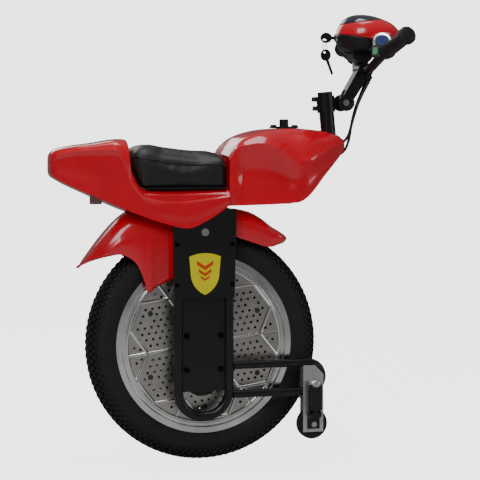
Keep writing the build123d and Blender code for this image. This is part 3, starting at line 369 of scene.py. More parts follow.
tread_rows = []
for side, crown_phase in ((-1, 0.0), (1, 0.5)):
    tread_rows += [(side * 5.6, 8.4, 10.6, 6.1, crown_phase), (side * 16.4, 9.0, 9.6, 6.0, 0.5),
                   (side * 27.4, 9.0, 10.8, 5.8, 0.0), (side * 37.6, 8.0, 8.4, 5.0, 0.5),
                   (side * 46.0, 6.4, 10.8, 2.6, 0.0), (side * 53.0, 5.0, 6.0, 1.3, 0.5)]
tyre = piece("tyre_casing", [(carcass, woven_faces(200, len(section), True, True))], tyre_rubber, "wheel",
             sharp=50, tidy=True)
piece("tread_blocks", [tread_blocks(tread_rows)], tyre_rubber, "wheel", sharp=30, tidy=True)
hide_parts("tyre")
tube_rubber = finish("tube_rubber", (0.03, 0.03, 0.03), 0.6)
paint_nodes(tube_rubber, "inner_tube")

# Rim, hub motor and axle.
# The rim is one spun and polished aluminium ring; the motor's end covers, magnets and bearings are plain
# steel, closed in behind the wheel covers.
polished_rim = finish("polished_rim", (0.78, 0.78, 0.77), 0.15, metal=1.0, spread=0.5, grain=700, bump=0.05)
motor_steel = finish("motor_steel", (0.05, 0.05, 0.055), 0.5, metal=0.6, grain=500)
zinc_plate = finish("zinc_plate", (0.55, 0.55, 0.54), 0.28, metal=1.0, grain=900, bump=0.1)
paint_nodes(polished_rim, "rim", "controller_box")
paint_nodes(motor_steel, "motor_covers", "magnet_ring", "stator")
paint_nodes(zinc_plate, "wheel_bearings", "axle", "axle_nuts", "pivot_bolts", "lock_barrel")
dark_screw = finish("dark_screw", (0.09, 0.09, 0.09), 0.35, metal=0.8, grain=900, bump=0.1)
paint_nodes(dark_screw, "cover_screws")

# Wheel covers.
# Each is a pressed aluminium disc: seven hexagons are drawn on it by thin polished ridges, every hexagon is
# pierced by a lattice of round holes, and a smooth turned border closes it against the rim.
cover_metal = finish("cover_metal", (0.56, 0.54, 0.51), 0.32, metal=1.0, spread=0.35, grain=420, bump=0.25)
ridge_metal = finish("ridge_metal", (0.82, 0.82, 0.8), 0.1, metal=1.0, spread=0.3, grain=800, bump=0.05)
cover_face, cover_sheet, hexagon_side, lattice_pitch = 32.5, 2.0, 69.0, 16.4
pattern_turn = math.radians(8)
screw_at, screw_room, cover_r, hub_r, pierced_r = 150.0, 10.5, 190.0, 26, 172
hole_r, spoke_from, spoke_to, ridge_overrun = 3.3, 138, 181, 1.6
sixth = np.pi / 3


def rotated(points, turn):
    """Flat points (x, z) turned about the hub."""
    c, s = np.cos(turn), np.sin(turn)
    return points @ np.array([[c, s], [-s, c]])


hexagon_middles = np.vstack([(0, 0), *[(hexagon_side * math.sqrt(3) * np.cos(sixth * k + sixth / 2),
                                        hexagon_side * math.sqrt(3) * np.sin(sixth * k + sixth / 2))
                                       for k in range(6)]])
i, j = np.meshgrid(np.arange(-3, 4), np.arange(-3, 4))
keep = np.abs(i + j) <= 3
lattice = np.column_stack([(i + j / 2)[keep], (j * math.sqrt(3) / 2)[keep]]) * lattice_pitch
holes = (hexagon_middles[:, None] + lattice[None]).reshape(-1, 2)
corner_turns = sixth * np.arange(6)
outer_holes = np.vstack([(r * np.cos(a), r * np.sin(a)) for t in corner_turns
                         for r, a in ((168, t - 0.11), (168, t + 0.11), (154, t - 0.075), (154, t + 0.075))])
screws = np.column_stack([np.cos(corner_turns + sixth / 2), np.sin(corner_turns + sixth / 2)]) * screw_at
holes = np.vstack([holes, outer_holes])
far = np.linalg.norm(holes[:, None] - screws[None], axis=2).min(axis=1) > screw_room
from_hub = np.linalg.norm(holes, axis=1)
holes = rotated(holes[far & (from_hub > hub_r) & (from_hub < pierced_r)], pattern_turn)


def ridges():
    """Hexagon edges as bars with a rounded ridge section, plus a short spoke outwards from each outer joint."""
    corners = np.column_stack([np.cos(corner_turns), np.sin(corner_turns)]) * hexagon_side
    starts = (hexagon_middles[:, None] + corners[None]).reshape(-1, 2)
    ends = (hexagon_middles[:, None] + np.roll(corners, -1, axis=0)[None]).reshape(-1, 2)
    joints = np.column_stack([np.cos(corner_turns), np.sin(corner_turns)])
    starts = np.vstack([starts, joints * spoke_from])
    ends = np.vstack([ends, joints * spoke_to])
    middles = np.round((starts + ends) / 2, 1)
    single = np.unique(middles, axis=0, return_index=True)[1]
    starts, ends = rotated(starts[single], pattern_turn), rotated(ends[single], pattern_turn)
    way = ends - starts
    way /= np.linalg.norm(way, axis=1)[:, None]
    starts, ends = starts - way * ridge_overrun, ends + way * ridge_overrun
    across = np.column_stack([-way[:, 1], way[:, 0]])
    shape = np.array([(-4.2, -0.4), (-2.9, 1.4), (-1.0, 2.4), (1.0, 2.4), (2.9, 1.4), (4.2, -0.4)])
    flat = np.stack([starts, ends], axis=1)[:, :, None] + across[:, None, None] * shape[None, None, :, :1]
    lift = np.broadcast_to(shape[:, 1], flat.shape[:3])
    bar = np.array([[k, k + 1, k + 7, k + 6] for k in range(5)] + [[0, 6, 11, 5]])
    faces = (bar[None] + (np.arange(len(starts)) * 12)[:, None, None]).reshape(-1, 4).tolist()
    for k in range(len(starts)):
        faces += [[12 * k + n for n in (5, 4, 3, 2, 1, 0)], [12 * k + 6 + n for n in range(6)]]
    return flat.reshape(-1, 2), lift.ravel(), faces


def pierced_disc(radius, middles, hole_r, around=10):
    """Flat disc with round holes cut through it: a filled outline, given a thickness; in mm."""
    curve = bpy.data.curves.new("disc_outline", "CURVE")
    curve.dimensions, curve.fill_mode, curve.extrude = "2D", "BOTH", cover_sheet / 2
    for middle, r, count in [((0, 0), radius, 120), *[(m, hole_r, around) for m in middles]]:
        turn = np.linspace(0, 2 * np.pi, count, endpoint=False)
        loop = curve.splines.new("POLY")
        loop.points.add(count - 1)
        loop.points.foreach_set("co", np.column_stack([
            middle[0] + r * np.cos(turn), middle[1] + r * np.sin(turn),
            np.zeros(count), np.ones(count)]).ravel())
        loop.use_cyclic_u = True
    holder = bpy.data.objects.new("disc_outline", curve)
    mesh = bpy.data.meshes.new_from_object(holder)
    points = np.empty(len(mesh.vertices) * 3)
    mesh.vertices.foreach_get("co", points)
    faces = [list(p.vertices) for p in mesh.polygons]
    bpy.data.objects.remove(holder)
    return points.reshape(-1, 3), faces


disc, disc_faces = pierced_disc(cover_r - 4, holes, hole_r)
ridge_flat, ridge_lift, ridge_faces = ridges()
border = [(cover_face - 2, 181), (cover_face + 0.2, 181.4), (cover_face + 1.8, 183.2), (cover_face + 2.5, 185.4),
          (cover_face + 2.4, 187.6), (cover_face + 1.2, 189.6), (cover_face - 2, cover_r)]
for side, label in ((-1, "right"), (1, "left")):
    standing = side * (cover_face - cover_sheet / 2 + disc[:, 2])
    plate = piece("cover_disc_" + label, [(np.column_stack([-side * disc[:, 0], standing, axle_z + disc[:, 1]]),
                                           disc_faces)], cover_metal, "wheel", tidy=True)
    raised = np.column_stack([-side * ridge_flat[:, 0], side * (cover_face + ridge_lift),
                              axle_z + ridge_flat[:, 1]])
    piece("cover_ridges_" + label, [(raised, ridge_faces)], ridge_metal, "wheel", sharp=50,
          tidy=True)
    ring = turned([(side * y, r) for y, r in border], 160, (0, axle_z))
    piece("cover_border_" + label, [(ring, woven_faces(160, len(border), True, True))], polished_rim, "wheel",
          sharp=60, tidy=True)
    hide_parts("wheel_covers")

# Column, plates, deck and arms.
# The frame is bent steel tube and cut plate under one satin black powder coat; the outer panels are the
# flattest and show the most sheen.
frame_coat = finish("frame_coat", (0.006, 0.006, 0.0065), 0.34, spread=0.3, grain=650, bump=0.35, coat=0.15,
                    coat_rough=0.3)
paint_nodes(frame_coat, "side_tube_right", "side_tube_left", "web_plates", "cover_panels", "axle_clamps",
            "top_deck", "spine_beam", "arm_tubes", "peg_hinges")

# Frame bolts.
# Small blackened screws hold the panels and hubs; the one large dome bolt at the top of each panel is bright
# zinc. One finish turns from black to zinc above the panels' own screws.
zinc_above = 0.533
bolt_metal = finish("bolt_metal", (0.85, 0.85, 0.85), 0.2, metal=1.0, grain=900, bump=0.1)
bolt_tree = bolt_metal.node_tree
bolt_place = bolt_tree.nodes.new("ShaderNodeTexCoord")
bolt_axes = bolt_tree.nodes.new("ShaderNodeSeparateXYZ")
dome_bolt = bolt_tree.nodes.new("ShaderNodeMath")
dome_bolt.operation = "GREATER_THAN"
dome_bolt.inputs[1].default_value = zinc_above
bolt_colour = bolt_tree.nodes.new("ShaderNodeMix")
bolt_colour.data_type = "RGBA"
bolt_colour.inputs["A"].default_value = (0.012, 0.012, 0.013, 1)
bolt_tree.links.new(bolt_place.outputs["Object"], bolt_axes.inputs[0])
bolt_tree.links.new(bolt_axes.outputs["Z"], dome_bolt.inputs[0])
bolt_tree.links.new(dome_bolt.outputs[0], bolt_colour.inputs["Factor"])
handled_part = next(n for n in bolt_tree.nodes if n.type == "GROUP")
bolt_tree.links.new(handled_part.outputs["Colour"], bolt_colour.inputs["B"])
bolt_tree.links.new(bolt_colour.outputs["Result"], bolt_tree.nodes["Principled BSDF"].inputs["Base Color"])
paint_nodes(bolt_metal, "frame_bolts")

# Badge.
# A yellow enamelled shield on each panel, with a plain device of three raised chevrons in orange-red.
badge_enamel = finish("badge_enamel", (1.0, 0.88, 0.0), 0.28, coat=0.8, spread=0.08, grain=300, bump=0.03)
badge_red = finish("badge_red", (0.80, 0.08, 0.01), 0.3, coat=0.6, spread=0.1, grain=300, bump=0.03)
paint_nodes(badge_enamel, "badges")
badge_face, badge_middle, badge_x = 90.5, 449.0, -12.0
chevron = np.array([(-15, 7), (0, -3), (15, 7), (15, 0), (0, -10), (-15, 0)])
chevrons = [chevron * size + (0, lift) for size, lift in ((1.3, 22), (1.02, 5), (0.7, -9))]
chevron_back, chevron_front = -0.3, 0.35
marks = []
for side in (-1, 1):
    for outline in chevrons:
        ring = np.stack([np.column_stack([badge_x - side * outline[:, 0], np.full(6, side * (badge_face + up)),
                                          badge_middle + outline[:, 1]]) for up in (chevron_back, chevron_front)])
        marks.append((ring, woven_faces(2, 6, round_columns=True).tolist()
                      + [[6, 7, 10, 11], [7, 8, 9, 10], [0, 5, 4, 1], [1, 4, 3, 2]]))
piece("badge_device", marks, badge_red, "root", sharp=20, tidy=True)

# Steering post, stem, bar, brackets.
# Satin black enamel on steel tube and forged clamps; the peg brackets are silver painted plate and the tail
# bracket is plain moulded plastic.
bar_enamel = finish("bar_enamel", (0.006, 0.006, 0.0065), 0.38, spread=0.3, grain=400, bump=0.08)
moulded_black = finish("moulded_black", (0.008, 0.008, 0.0085), 0.42, spread=0.3, grain=900, bump=0.4)
silver_paint = finish("silver_paint", (0.62, 0.63, 0.64), 0.3, metal=0.75, grain=900, bump=0.1)
grip_rubber = finish("grip_rubber", (0.009, 0.009, 0.0095), 0.55, spread=0.35, grain=700, bump=0.5)
bracket_plastic = finish("bracket_plastic", (0.3, 0.27, 0.24), 0.5)
paint_nodes(bar_enamel, "steering_post", "stem_clamp", "stem_arm", "bar_clamp", "handlebar", "head_bracket")
paint_nodes(moulded_black, "post_cap", "under_tray", "seat_pan", "filler_flange", "cap_knob", "switch_pod")
paint_nodes(silver_paint, "bracket_right", "bracket_left")
paint_nodes(grip_rubber, "support_roller")
paint_nodes(bracket_plastic, "tail_bracket")
cell_wrap = finish("cell_wrap", (0.05, 0.10, 0.3), 0.5)
paint_nodes(cell_wrap, "battery_pack")

# Tail and skirts.
# The rear body shell is moulded plastic in clear-coated red: a hollow tail that rises behind the seat, and
# skirts that straddle the wheel in front of it, with a channel between them for the tyre and the column.
red_paint = finish("red_paint", (0.88, 0.0004, 0.018), 0.25, coat=1.0, spread=0.12, grain=160, bump=0.03,
                   coat_rough=0.04)


def eased(x, table):
    """Value at x from (x, value) pairs by a cubic that never overshoots: its slope at a pair is the harmonic
    mean of the slopes beside it, or nought at a turning point."""
    keys, values = np.asarray(table, float).T
    width, rise = np.diff(keys), np.diff(values)
    grade = rise / width
    left, right = grade[:-1], grade[1:]
    product = left * right
    inner = np.where(product > 0, 2 * product / np.where(product > 0, left + right, 1), 0)
    slope = np.concatenate([[grade[0]], inner, [grade[-1]]])
    k = np.clip(np.searchsorted(keys, x, side="right") - 1, 0, len(keys) - 2)
    t = np.clip((x - keys[k]) / width[k], 0, 1)
    return ((2 * t**3 - 3 * t**2 + 1) * values[k] + (t**3 - 2 * t**2 + t) * width[k] * slope[k]
            + (3 * t**2 - 2 * t**3) * values[k + 1] + (t**3 - t**2) * width[k] * slope[k + 1])


def hull(x, half, corners, steps=6):
    """Closed skin along X. half is a list of (y, z) lines, one for each key point of the half section from
    the top middle to the bottom middle; each section is a smooth loop through them, mirrored, sharp at the
    corners."""
    line = np.stack([np.stack(np.broadcast_arrays(x, y, z), axis=-1) for y, z in half])
    right = through(line * (1, -1, 1), steps, corners)
    left = through(line, steps, corners)[::-1]
    ring = np.concatenate([right, left[1:-1]])
    points = ring.transpose(1, 0, 2)
    rows, columns = points.shape[:2]
    faces = woven_faces(rows, columns, round_columns=True).tolist()
    last = (rows - 1) * columns
    faces += [list(range(columns))[::-1], list(range(last, last + columns))]
    return points, faces


tail_x = np.concatenate([np.linspace(-361, -340, 10), np.linspace(-334, -190, 28), np.linspace(-188, -150, 30),
                         np.linspace(-145, 48, 40)])
tail_w = eased(tail_x, [(-361, 24), (-358, 32), (-345, 43), (-266, 66), (-178, 88), (-120, 93), (48, 93)])
tail_top = eased(tail_x, [(-361, 724), (-358, 730), (-345, 740), (-266, 753), (-200, 762), (-188, 760),
                          (-184.5, 752), (-183, 712), (-152, 650), (-140, 649.5), (48, 649.5)])
tail_low = eased(tail_x, [(-361, 686), (-358, 678), (-345, 668), (-266, 630), (-188, 596), (-100, 565),
                          (-53, 555), (-8, 572), (48, 608)])
tail_floor = np.where(tail_x > -183, 632.0, tail_low)
tail_fold = eased(tail_x, [(-361, 712), (-352, 719), (-330, 727), (-289, 734), (-218, 736), (-205, 718),
                           (-179, 657), (-142, 622), (-90, 612), (48, 628)])
tail_inset = eased(tail_x, [(-361, 0.97), (-340, 0.945), (-215, 0.945), (-180, 0.965), (-135, 0.99),
                            (-90, 0.998), (48, 0.998)])
tail_mid = 0.52 * tail_fold + 0.48 * tail_low
inner_w = tail_w - 3.0
step_down = np.minimum(7, 0.25 * (tail_fold - tail_low))
tail = hull(tail_x, [(0 * tail_w, tail_top), (0.5 * tail_w, tail_top - 2),
                     (0.82 * tail_w, tail_top * 0.72 + tail_fold * 0.28), (tail_w, tail_fold),
                     (tail_inset * tail_w, tail_fold - step_down), (tail_inset * tail_w, tail_mid),
                     (tail_w * 0.985, tail_low + 0.2 * (tail_fold - tail_low)), (tail_w - 1.2, tail_low),
                     (inner_w, tail_low + 0.4), (inner_w, tail_floor + 0.4), (0 * tail_w, tail_floor + 0.4)],
            corners=(3, 4, 7, 8, 9))
tail_piece = piece("body_fairing", [tail], red_paint, "root", sharp=32, tidy=True)
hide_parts("body_shell")

# Tank.
# A tank-shaped moulding in the same red: a crowned top, a folded line that swells over the knee recess and
# runs forward to the nose, and hollowed sides below it.
tank_x = np.concatenate([np.linspace(48, 84, 12), np.linspace(88, 330, 44), np.linspace(333, 350, 8)])
tank_w = eased(tank_x, [(48, 88), (60, 92), (82, 98), (150, 105), (225, 101), (290, 72), (335, 40), (350, 26)])
tank_top = eased(tank_x, [(48, 727), (60, 745), (82, 768), (115, 780), (150, 786), (205, 788), (225, 787.5),
                          (290, 783), (335, 774), (350, 764)])
tank_low = eased(tank_x, [(48, 606), (150, 609), (212, 613), (228, 620), (290, 680), (335, 722), (350, 737)])
tank_fold = eased(tank_x, [(48, 712), (66, 742), (120, 752), (160, 739), (212, 706), (250, 716), (320, 745),
                           (350, 754)])
hollow = eased(tank_x, [(48, 0.985), (62, 0.97), (84, 0.845), (186, 0.835), (218, 0.955), (350, 0.98)])
tank = hull(tank_x, [(0 * tank_w, tank_top), (0.45 * tank_w, tank_top - 2.5),
                     (0.8 * tank_w, 0.62 * tank_top + 0.38 * tank_fold), (tank_w, tank_fold),
                     (hollow * tank_w, 0.58 * tank_fold + 0.42 * tank_low),
                     ((0.55 * hollow + 0.45) * 0.985 * tank_w, 0.26 * tank_fold + 0.74 * tank_low),
                     (0.95 * tank_w, tank_low + 1), (0.9 * tank_w, tank_low), (0 * tank_w, tank_low)],
            corners=(3, 6))
tank_piece = piece("tank_fairing", [tank], red_paint, "root", sharp=28, tidy=True)
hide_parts("tank_shell")

# Fenders.
# Two moulded red fenders arch over the tyre between the columns: the rear one ends in a raised tip and drops a
# pointed wing on each side, and the front one is short and blunt. Each is a thin shell with a folded shoulder.
rear_pairs = [((-295.5, 463), (-296.5, 463.3), 2, 0.5), ((-281, 483), (-266, 480), 34, 0.6),
              ((-250, 524), (-230, 491), 56, 0.7), ((-218, 561), (-200, 494), 62, 0.58),
              ((-186, 589), (-168, 474), 63, 0.47), ((-158, 597), (-149, 432), 63, 0.34),
              ((-135, 599), (-140, 405), 63, 0.29), ((-110, 600), (-120, 419), 63, 0.31),
              ((-76, 600), (-76, 439), 63, 0.35)]
front_pairs = [((50, 600), (50, 540), 63, 0.4), ((85, 596), (85, 527), 63, 0.4),
               ((112, 590), (115, 517), 63, 0.38), ((140, 575), (138, 509), 63, 0.36),
               ((163, 557), (157, 507), 62, 0.36),
               ((181, 546), (173, 511.5), 60, 0.36), ((194, 537.5), (186, 514.5), 54, 0.4),
               ((202, 531), (196, 519), 44, 0.5), ((204.5, 527), (202, 523.5), 30, 0.5)]
rib_x, rib_top, rib_half_w, rib_rise, rib_fade = -134.0, 533.0, 6.5, 1.8, 14
fender_wall = 0.0025


def fender(pairs):
    """Arched shell: at each pair of crown and edge points the section runs from the crown out to a fold, at
    the pair's width and share of the drop, then down to the edge. A low rib stands on the drop beside the
    column."""
    crown, edge = np.array([p[0] for p in pairs], float), np.array([p[1] for p in pairs], float)
    width, fold = np.array([p[2] for p in pairs], float), np.array([p[3] for p in pairs], float)
    below = 1 - fold
    drops = np.stack([0 * fold, 0.06 * fold, 0.4 * fold, fold, fold + 0.22 * below, fold + 0.6 * below,
                      1 + 0 * fold])
    outs = np.array([0, 0.45, 0.82, 0.985, 1.0, 0.985, 0.955])[:, None]
    flat = crown[None] * (1 - drops[..., None]) + edge[None] * drops[..., None]
    line = np.stack([flat[..., 0], -outs * width[None], flat[..., 1]], axis=-1)
    across = through(line, 6, corners=(3,))
    skin = through(across.transpose(1, 0, 2), 8).transpose(1, 0, 2)
    low = np.clip((rib_top - skin[..., 2]) / rib_fade, 0, 1)
    skin[..., 1] -= rib_rise * low * np.exp(-((skin[..., 0] - rib_x) / rib_half_w)**4)
    whole = np.concatenate([skin[::-1], (skin * (1, -1, 1))[1:]])
    return whole, woven_faces(*whole.shape[:2])


for label, pairs in (("rear", rear_pairs), ("front", front_pairs)):
    shell = piece(label + "_mudguard", [fender(pairs)], red_paint, "root", sharp=32, tidy=True)
    thick = shell.modifiers.new("wall", "SOLIDIFY")
    thick.thickness, thick.offset = fender_wall, -1
    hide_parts(label + "_fender")

# Seat.
# A foam cushion under black vinyl with a fine leather grain: it swells between a welt that runs round it two
# thirds of the way up and the pan that it is stapled to.
seat_vinyl = finish("seat_vinyl", (0.019, 0.018, 0.018), 0.44, spread=0.35, grain=1400, bump=0.55,
                    depth=0.0005)
pad_x = np.concatenate([np.linspace(-179, -165, 10), np.linspace(-161, 34, 52), np.linspace(36, 42.5, 6)])
pad_top = eased(pad_x, [(-179, 716), (-174, 734), (-165, 743), (-150, 746.5), (-100, 738), (-30, 730), (34, 727),
                        (39, 724), (42.5, 715)])
pad_low_line = eased(pad_x, [(-179, 706), (-165, 678), (-152, 651), (-145, 650), (42.5, 650)])
pad_w = eased(pad_x, [(-179, 55), (-174, 66), (-163, 75), (-145, 79), (-40, 78), (30, 79), (39, 75),
                      (42.5, 66)])
welt_z = pad_low_line + 0.68 * (pad_top - pad_low_line)
pad = hull(pad_x, [(0 * pad_w, pad_top), (0.4 * pad_w, pad_top - 1), (0.72 * pad_w, pad_top - 5),
                   (0.92 * pad_w, 0.45 * pad_top + 0.55 * welt_z), (pad_w, welt_z),
                   (0.985 * pad_w, 0.5 * welt_z + 0.5 * pad_low_line),
                   (0.97 * pad_w, pad_low_line + 1.5), (0.9 * pad_w, pad_low_line), (0 * pad_w, pad_low_line)],
           corners=(6,))
cushion = piece("seat_pad", [pad], seat_vinyl, "root", sharp=60, tidy=True)
staple_height, stuffing_pressure, settling_frames, most_swell = 0.656, 4, 20, 0.006
remesh = cushion.modifiers.new("even", "REMESH")
remesh.mode, remesh.voxel_size = "VOXEL", 0.005
even = bpy.data.meshes.new_from_object(cushion.evaluated_get(bpy.context.evaluated_depsgraph_get()))
cushion.modifiers.clear()
cushion.data = even


def points_of(mesh):
    """Vertex positions as an array."""
    found = np.empty(len(mesh.vertices) * 3)
    mesh.vertices.foreach_get("co", found)
    return found.reshape(-1, 3)


start = points_of(cushion.data)
pinned = cushion.vertex_groups.new(name="stapled")
pinned.add(np.flatnonzero(start[:, 2] < staple_height).tolist(), 1.0, "REPLACE")
cloth = cushion.modifiers.new("stuffing", "CLOTH")
cloth.settings.use_pressure = True
cloth.settings.uniform_pressure_force = stuffing_pressure
cloth.settings.effector_weights.gravity = 0
cloth.settings.vertex_group_mass = "stapled"
cloth.point_cache.frame_start, cloth.point_cache.frame_end = 1, settling_frames
for step in range(1, settling_frames + 1):
    bpy.context.scene.frame_set(step)
swollen = points_of(bpy.data.meshes.new_from_object(
    cushion.evaluated_get(bpy.context.evaluated_depsgraph_get())))
cushion.modifiers.clear()
bpy.context.scene.frame_set(1)
move = swollen - start
far = np.linalg.norm(move, axis=1)[:, None]
move *= np.minimum(1, most_swell / np.maximum(far, 1e-9))
cushion.data.vertices.foreach_set("co", (start + move).ravel())
cushion.data.update()
cushion.data.polygons.foreach_set("use_smooth", [True] * len(cushion.data.polygons))
fuller = cushion.modifiers.new("finer", "SUBSURF")
fuller.levels = fuller.render_levels = 1
cushion.data.materials.clear()
cushion.data.materials.append(seat_vinyl)
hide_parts("seat_cushion")

welt_r, welt_stands_off = 1.6, 0.0006
right_run = np.column_stack([pad_x, -pad_w, welt_z])[4:-3:3]
ring_run = np.vstack([right_run, (right_run * (1, -1, 1))[::-1]])
welt = []
for x, y, z in ring_run:
    _, spot, normal, _ = cushion.closest_point_on_mesh(Vector((x, y, z)) * mm)
    welt.append(np.array(spot + normal * welt_stands_off) / mm)
welt = through(np.vstack([welt[-1:], welt, welt[:2]]), 4)[4:-4]


def closed_hose(path, radius, around=8):
    """Round tube along a closed path: a circle of the radius square to the path at each point."""
    ahead = np.roll(path, -1, axis=0) - np.roll(path, 1, axis=0)
    ahead /= np.linalg.norm(ahead, axis=1)[:, None]
    side = np.cross(ahead, (0, 0, 1))
    side /= np.linalg.norm(side, axis=1)[:, None]
    up = np.cross(side, ahead)
    turn = np.linspace(0, 2 * np.pi, around, endpoint=False)[None, :, None]
    ring = path[:, None] + radius * (np.cos(turn) * side[:, None] + np.sin(turn) * up[:, None])
    return ring, woven_faces(len(path), around, True, True)


piece("seat_welt", [closed_hose(welt[:-1], welt_r)], seat_vinyl, "root", sharp=80, tidy=True)

# Head unit: cowl, display and lamp.
# A rounded instrument pod in two moulded halves, red above and black below, with a smoked window on top and
# a pale glossy lens in front.
smoked = finish("smoked_window", (0.02, 0.022, 0.045), 0.08, coat=1.0, spread=0.1, bump=0.01)
lamp_clear = finish("lamp_clear", (0.75, 0.8, 0.85), 0.08, coat=1.0, spread=0.05, bump=0.02)
paint_nodes(lamp_clear, "headlight_lens")
cowl_rings = through([(974, 400, 42, 44), (981, 404, 55, 54), (990, 410, 66, 62), (1000, 414.5, 75, 69),
                      (1012, 417, 79, 72), (1027, 416.5, 75, 69), (1042, 412, 63, 60), (1053, 405, 45, 45),
                      (1060.5, 399, 24, 26), (1063.5, 397, 0.3, 0.3)], 8)
cowl_middle_x, cowl_around, cowl_gap, cowl_wall = 417, 72, 0.003, 0.002
level = np.linspace(0, 1, len(cowl_rings))
cowl_turn = np.linspace(0, 2 * np.pi, cowl_around, endpoint=False)
ring_x = cowl_rings[:, 1:2] + cowl_rings[:, 2:3] * np.cos(cowl_turn)


def cut_level(height, slope):
    """For each direction, the level at which the cowl meets a plane that tilts along X."""
    above = cowl_rings[:, :1] - (height + slope * (ring_x - cowl_middle_x))
    return np.array([np.interp(0, column, level) for column in above.T])


def cowl_band(low, high, rows=16):
    """Strip of the cowl between two levels, which may change with direction: each ring is an ellipse whose
    middle and half widths follow its level."""
    at = low + (high - low) * np.linspace(0, 1, rows)[:, None]
    z, x, a, b = (np.interp(at, level, cowl_rings[:, k]) for k in range(4))
    points = np.stack([x + a * np.cos(cowl_turn), b * np.sin(cowl_turn), z], axis=-1)
    return points, woven_faces(rows, cowl_around, round_columns=True)


split, brim = cut_level(997, -0.21), cut_level(1047, 0.13)
for name, low, high, material, slot, old in (
        ("cowl_lower", 0 * split, split - cowl_gap, moulded_black, "black_plastic", "head_shell_lower"),
        ("cowl_upper", split + cowl_gap, brim - cowl_gap, red_paint, "body_red", "head_shell_upper"),
        ("cowl_window", brim + cowl_gap, 1 + 0 * brim, smoked, "smoked_window", "display_lens")):
    shell = piece(name, [cowl_band(low, high)], material, "handlebar_unit", tidy=True)
    thick = shell.modifiers.new("wall", "SOLIDIFY")
    thick.thickness, thick.offset = cowl_wall, -1
    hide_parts(old)
cowl_floor = np.stack([np.stack([400 + 41 * f * np.cos(cowl_turn), 43 * f * np.sin(cowl_turn),
                                 np.full(cowl_around, 975.0)], axis=-1) for f in (1, 0.01)])
piece("cowl_floor", [(cowl_floor, woven_faces(2, cowl_around, round_columns=True))], moulded_black,
      "handlebar_unit")
button_blue = finish("button_blue", (0.015, 0.04, 0.22), 0.15, coat=0.8, bump=0.03)
button_green = finish("button_green", (0.02, 0.35, 0.12), 0.3, coat=0.4, bump=0.03)
paint_nodes(button_blue, "light_button")
paint_nodes(button_green, "horn_button")


def about_axis(start, axis, profile, around, arc=(0, 2 * math.pi), flutes=0, flute=0.0, flute_from=1e9):
    """Surface of a profile (along, radius) turned about an axis from start; radii past flute_from rise and
    fall by flute that many times round."""
    axis = np.asarray(axis, float) / np.linalg.norm(axis)
    side = np.cross((0, 0, 1), axis)
    side /= np.linalg.norm(side)
    up = np.cross(axis, side)
    whole = arc[1] - arc[0] > 6.28
    turn = np.linspace(*arc, around, endpoint=not whole)[:, None]
    along, r = np.asarray(profile, float).T
    r = r + np.where(r > flute_from, flute * np.cos(flutes * turn), 0)
    return (np.asarray(start, float) + along[None, :, None] * axis
            + r[..., None] * (np.cos(turn)[..., None] * side + np.sin(turn)[..., None] * up))


# Grips.
# Moulded rubber sleeves with fine rings between two flanges, pushed on to the ends of the bar.
grip_out, grip_in = np.array((431.0, 228.0, 998.0)), np.array((423.0, 97.0, 963.0))
rings_from, rings_to, ring_pitch, ring_height, sleeve_r = 11, 104, 4.65, 0.8, 16.2
rings_at = np.linspace(rings_from, rings_to, 125)
ribbed = np.column_stack([rings_at, sleeve_r + ring_height * np.abs(
    np.sin(np.pi * (rings_at - rings_from) / ring_pitch))])
grip_line = np.vstack([[(-4, 0.05), (-4, 16.8), (-3.3, 18), (-0.4, 18.5), (0, 20.6), (1, 21.4), (7, 21.4),
                        (8.4, 20.4), (9.5, 16.6)], ribbed, [(106.5, 17), (107.5, 19), (111, 19.4), (112, 18.6),
                                                            (112, 11.4), (-2, 11.4), (-2, 0.05)]])
for side, label in ((-1, "right"), (1, "left")):
    mirror = (1, side, 1)
    sleeve = about_axis(grip_out * mirror, (grip_in - grip_out) * mirror, grip_line, 48)
    grip = piece("grip_" + label, [(sleeve, woven_faces(48, len(grip_line), True, False))], grip_rubber,
                 "handlebar_unit", sharp=70, tidy=True)
    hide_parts("grips")

# Lamp switch collar and stem bosses.
# A knurled bright collar stands round the lamp button, and a turned boss on each side of the stem closes
# its hinge.
collar_around, collar_ribs = 130, 30
pod_middle, pod_out = (420, -94, 992), (-0.42, -0.84, 0.34)
collar_line = [(-8, 20.7), (-8, 21.8), (-7, 22.6), (4.4, 22.6), (5.4, 21.8), (5.6, 15.6), (5.2, 14.9), (4.2, 14.9),
               (4.2, 20.7)]
collar = about_axis(pod_middle, pod_out, collar_line, collar_around, flutes=collar_ribs, flute=1.0,
                    arc=(math.radians(-40), math.radians(215)), flute_from=21.5)
collar_faces = woven_faces(collar_around, len(collar_line), False, True).tolist()
last_ring = (collar_around - 1) * len(collar_line)
collar_faces += [list(range(len(collar_line))), list(range(last_ring + len(collar_line) - 1, last_ring - 1, -1))]
piece("switch_collar", [(collar, collar_faces)], polished_rim, "handlebar_unit", tidy=True)
boss_line = [(21.4, 10.6), (24.2, 10.6), (25.0, 11.6), (25.2, 18), (24.4, 20), (21.4, 20.6)]
stem_hinge = (356, 850)
bosses = [(turned([(side * y, r) for y, r in boss_line], 48, stem_hinge),
           woven_faces(48, len(boss_line), True, True)) for side in (-1, 1)]
piece("stem_bosses", bosses, bar_enamel, "handlebar_unit", tidy=True)

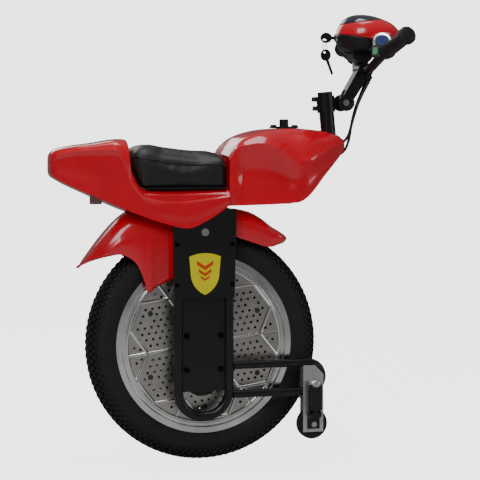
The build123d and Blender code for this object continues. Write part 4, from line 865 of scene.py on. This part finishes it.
# Footpegs.
# Ribbed rubber blocks on tabs, folded up beside the brackets, each with a bright domed cap pressed into its
# outer end. Their sections are rounded oblongs: a power of the cosine and sine squares off an ellipse.
block_half_x, block_half_y, squareness, block_rib_pitch = 16, 9.7, 0.4, 4.8
cap_half_x, cap_half_y, cap_half_z = 16.6, 11.5, 11.6
tab_r, tab_half_x, tab_half_y, tab_middle_y, tab_length = 7.5, 7.7, 6, 101.0, 18.5
peg_around = 48
peg_turn = np.linspace(0, 2 * np.pi, peg_around, endpoint=False)[:, None]
oblong_x = block_half_x * np.sign(np.cos(peg_turn)) * np.abs(np.cos(peg_turn)) ** squareness
oblong_y = block_half_y * np.sign(np.sin(peg_turn)) * np.abs(np.sin(peg_turn)) ** squareness
for label, side in (("right", -1), ("left", 1)):
    low, high = (np.array(c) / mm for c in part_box("footpeg_" + label))
    middle, foot, top, tab_y = (low + high) / 2, low[2] + tab_length, high[2] - 12, side * tab_middle_y
    along = np.linspace(foot + 3, top - 2, 73)
    heights = np.concatenate([[foot, foot, foot + 1.5], along, [top, top]])
    ribs = np.abs(np.sin(np.pi * (along - foot) / block_rib_pitch))
    swell = np.concatenate([[0, 0.93, 1], 1 - 0.05 * ribs, [1, 0]])
    block = np.stack([middle[0] + swell * oblong_x, middle[1] + swell * oblong_y, heights + 0 * peg_turn],
                     axis=-1)
    under = np.linspace(-np.pi, 0, 17)
    knuckle = np.stack([tab_y + tab_r * np.cos(under), low[2] + tab_r + tab_r * np.sin(under)], axis=-1)
    outline = np.concatenate([knuckle, [(tab_y + tab_half_y, foot + 1), (tab_y - tab_half_y, foot + 1)]])
    count = len(outline)
    tab = np.stack([np.column_stack([np.full(count, middle[0] + x), outline])
                    for x in (-tab_half_x, tab_half_x)])
    tab_faces = woven_faces(2, count, False, True).tolist()
    tab_faces += [list(range(count)), list(range(2 * count - 1, count - 1, -1))]
    peg = piece("peg_block_" + label, [(block, woven_faces(peg_around, len(heights), True, False)),
                                       (tab, tab_faces)], grip_rubber, "peg_" + label, tidy=True)
    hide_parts("footpeg_" + label)
    rise = np.linspace(-np.pi / 2, np.pi / 2, 25)[None]
    dome = np.stack([middle[0] + cap_half_x * np.cos(peg_turn) * np.cos(rise),
                     middle[1] + cap_half_y * np.sin(peg_turn) * np.cos(rise),
                     high[2] - cap_half_z + cap_half_z * np.sin(rise) + 0 * peg_turn], axis=-1)
    piece("peg_cap_" + label, [(dome, woven_faces(peg_around, rise.size, True, False))], silver_paint,
          "peg_" + label, tidy=True)

# Keys.
# Two black keys hang from one wire ring, the first of them in the lock. The spare's ring is part of its
# own mesh, so it takes the same black.
paint_nodes(moulded_black, "ignition_key", "spare_key")
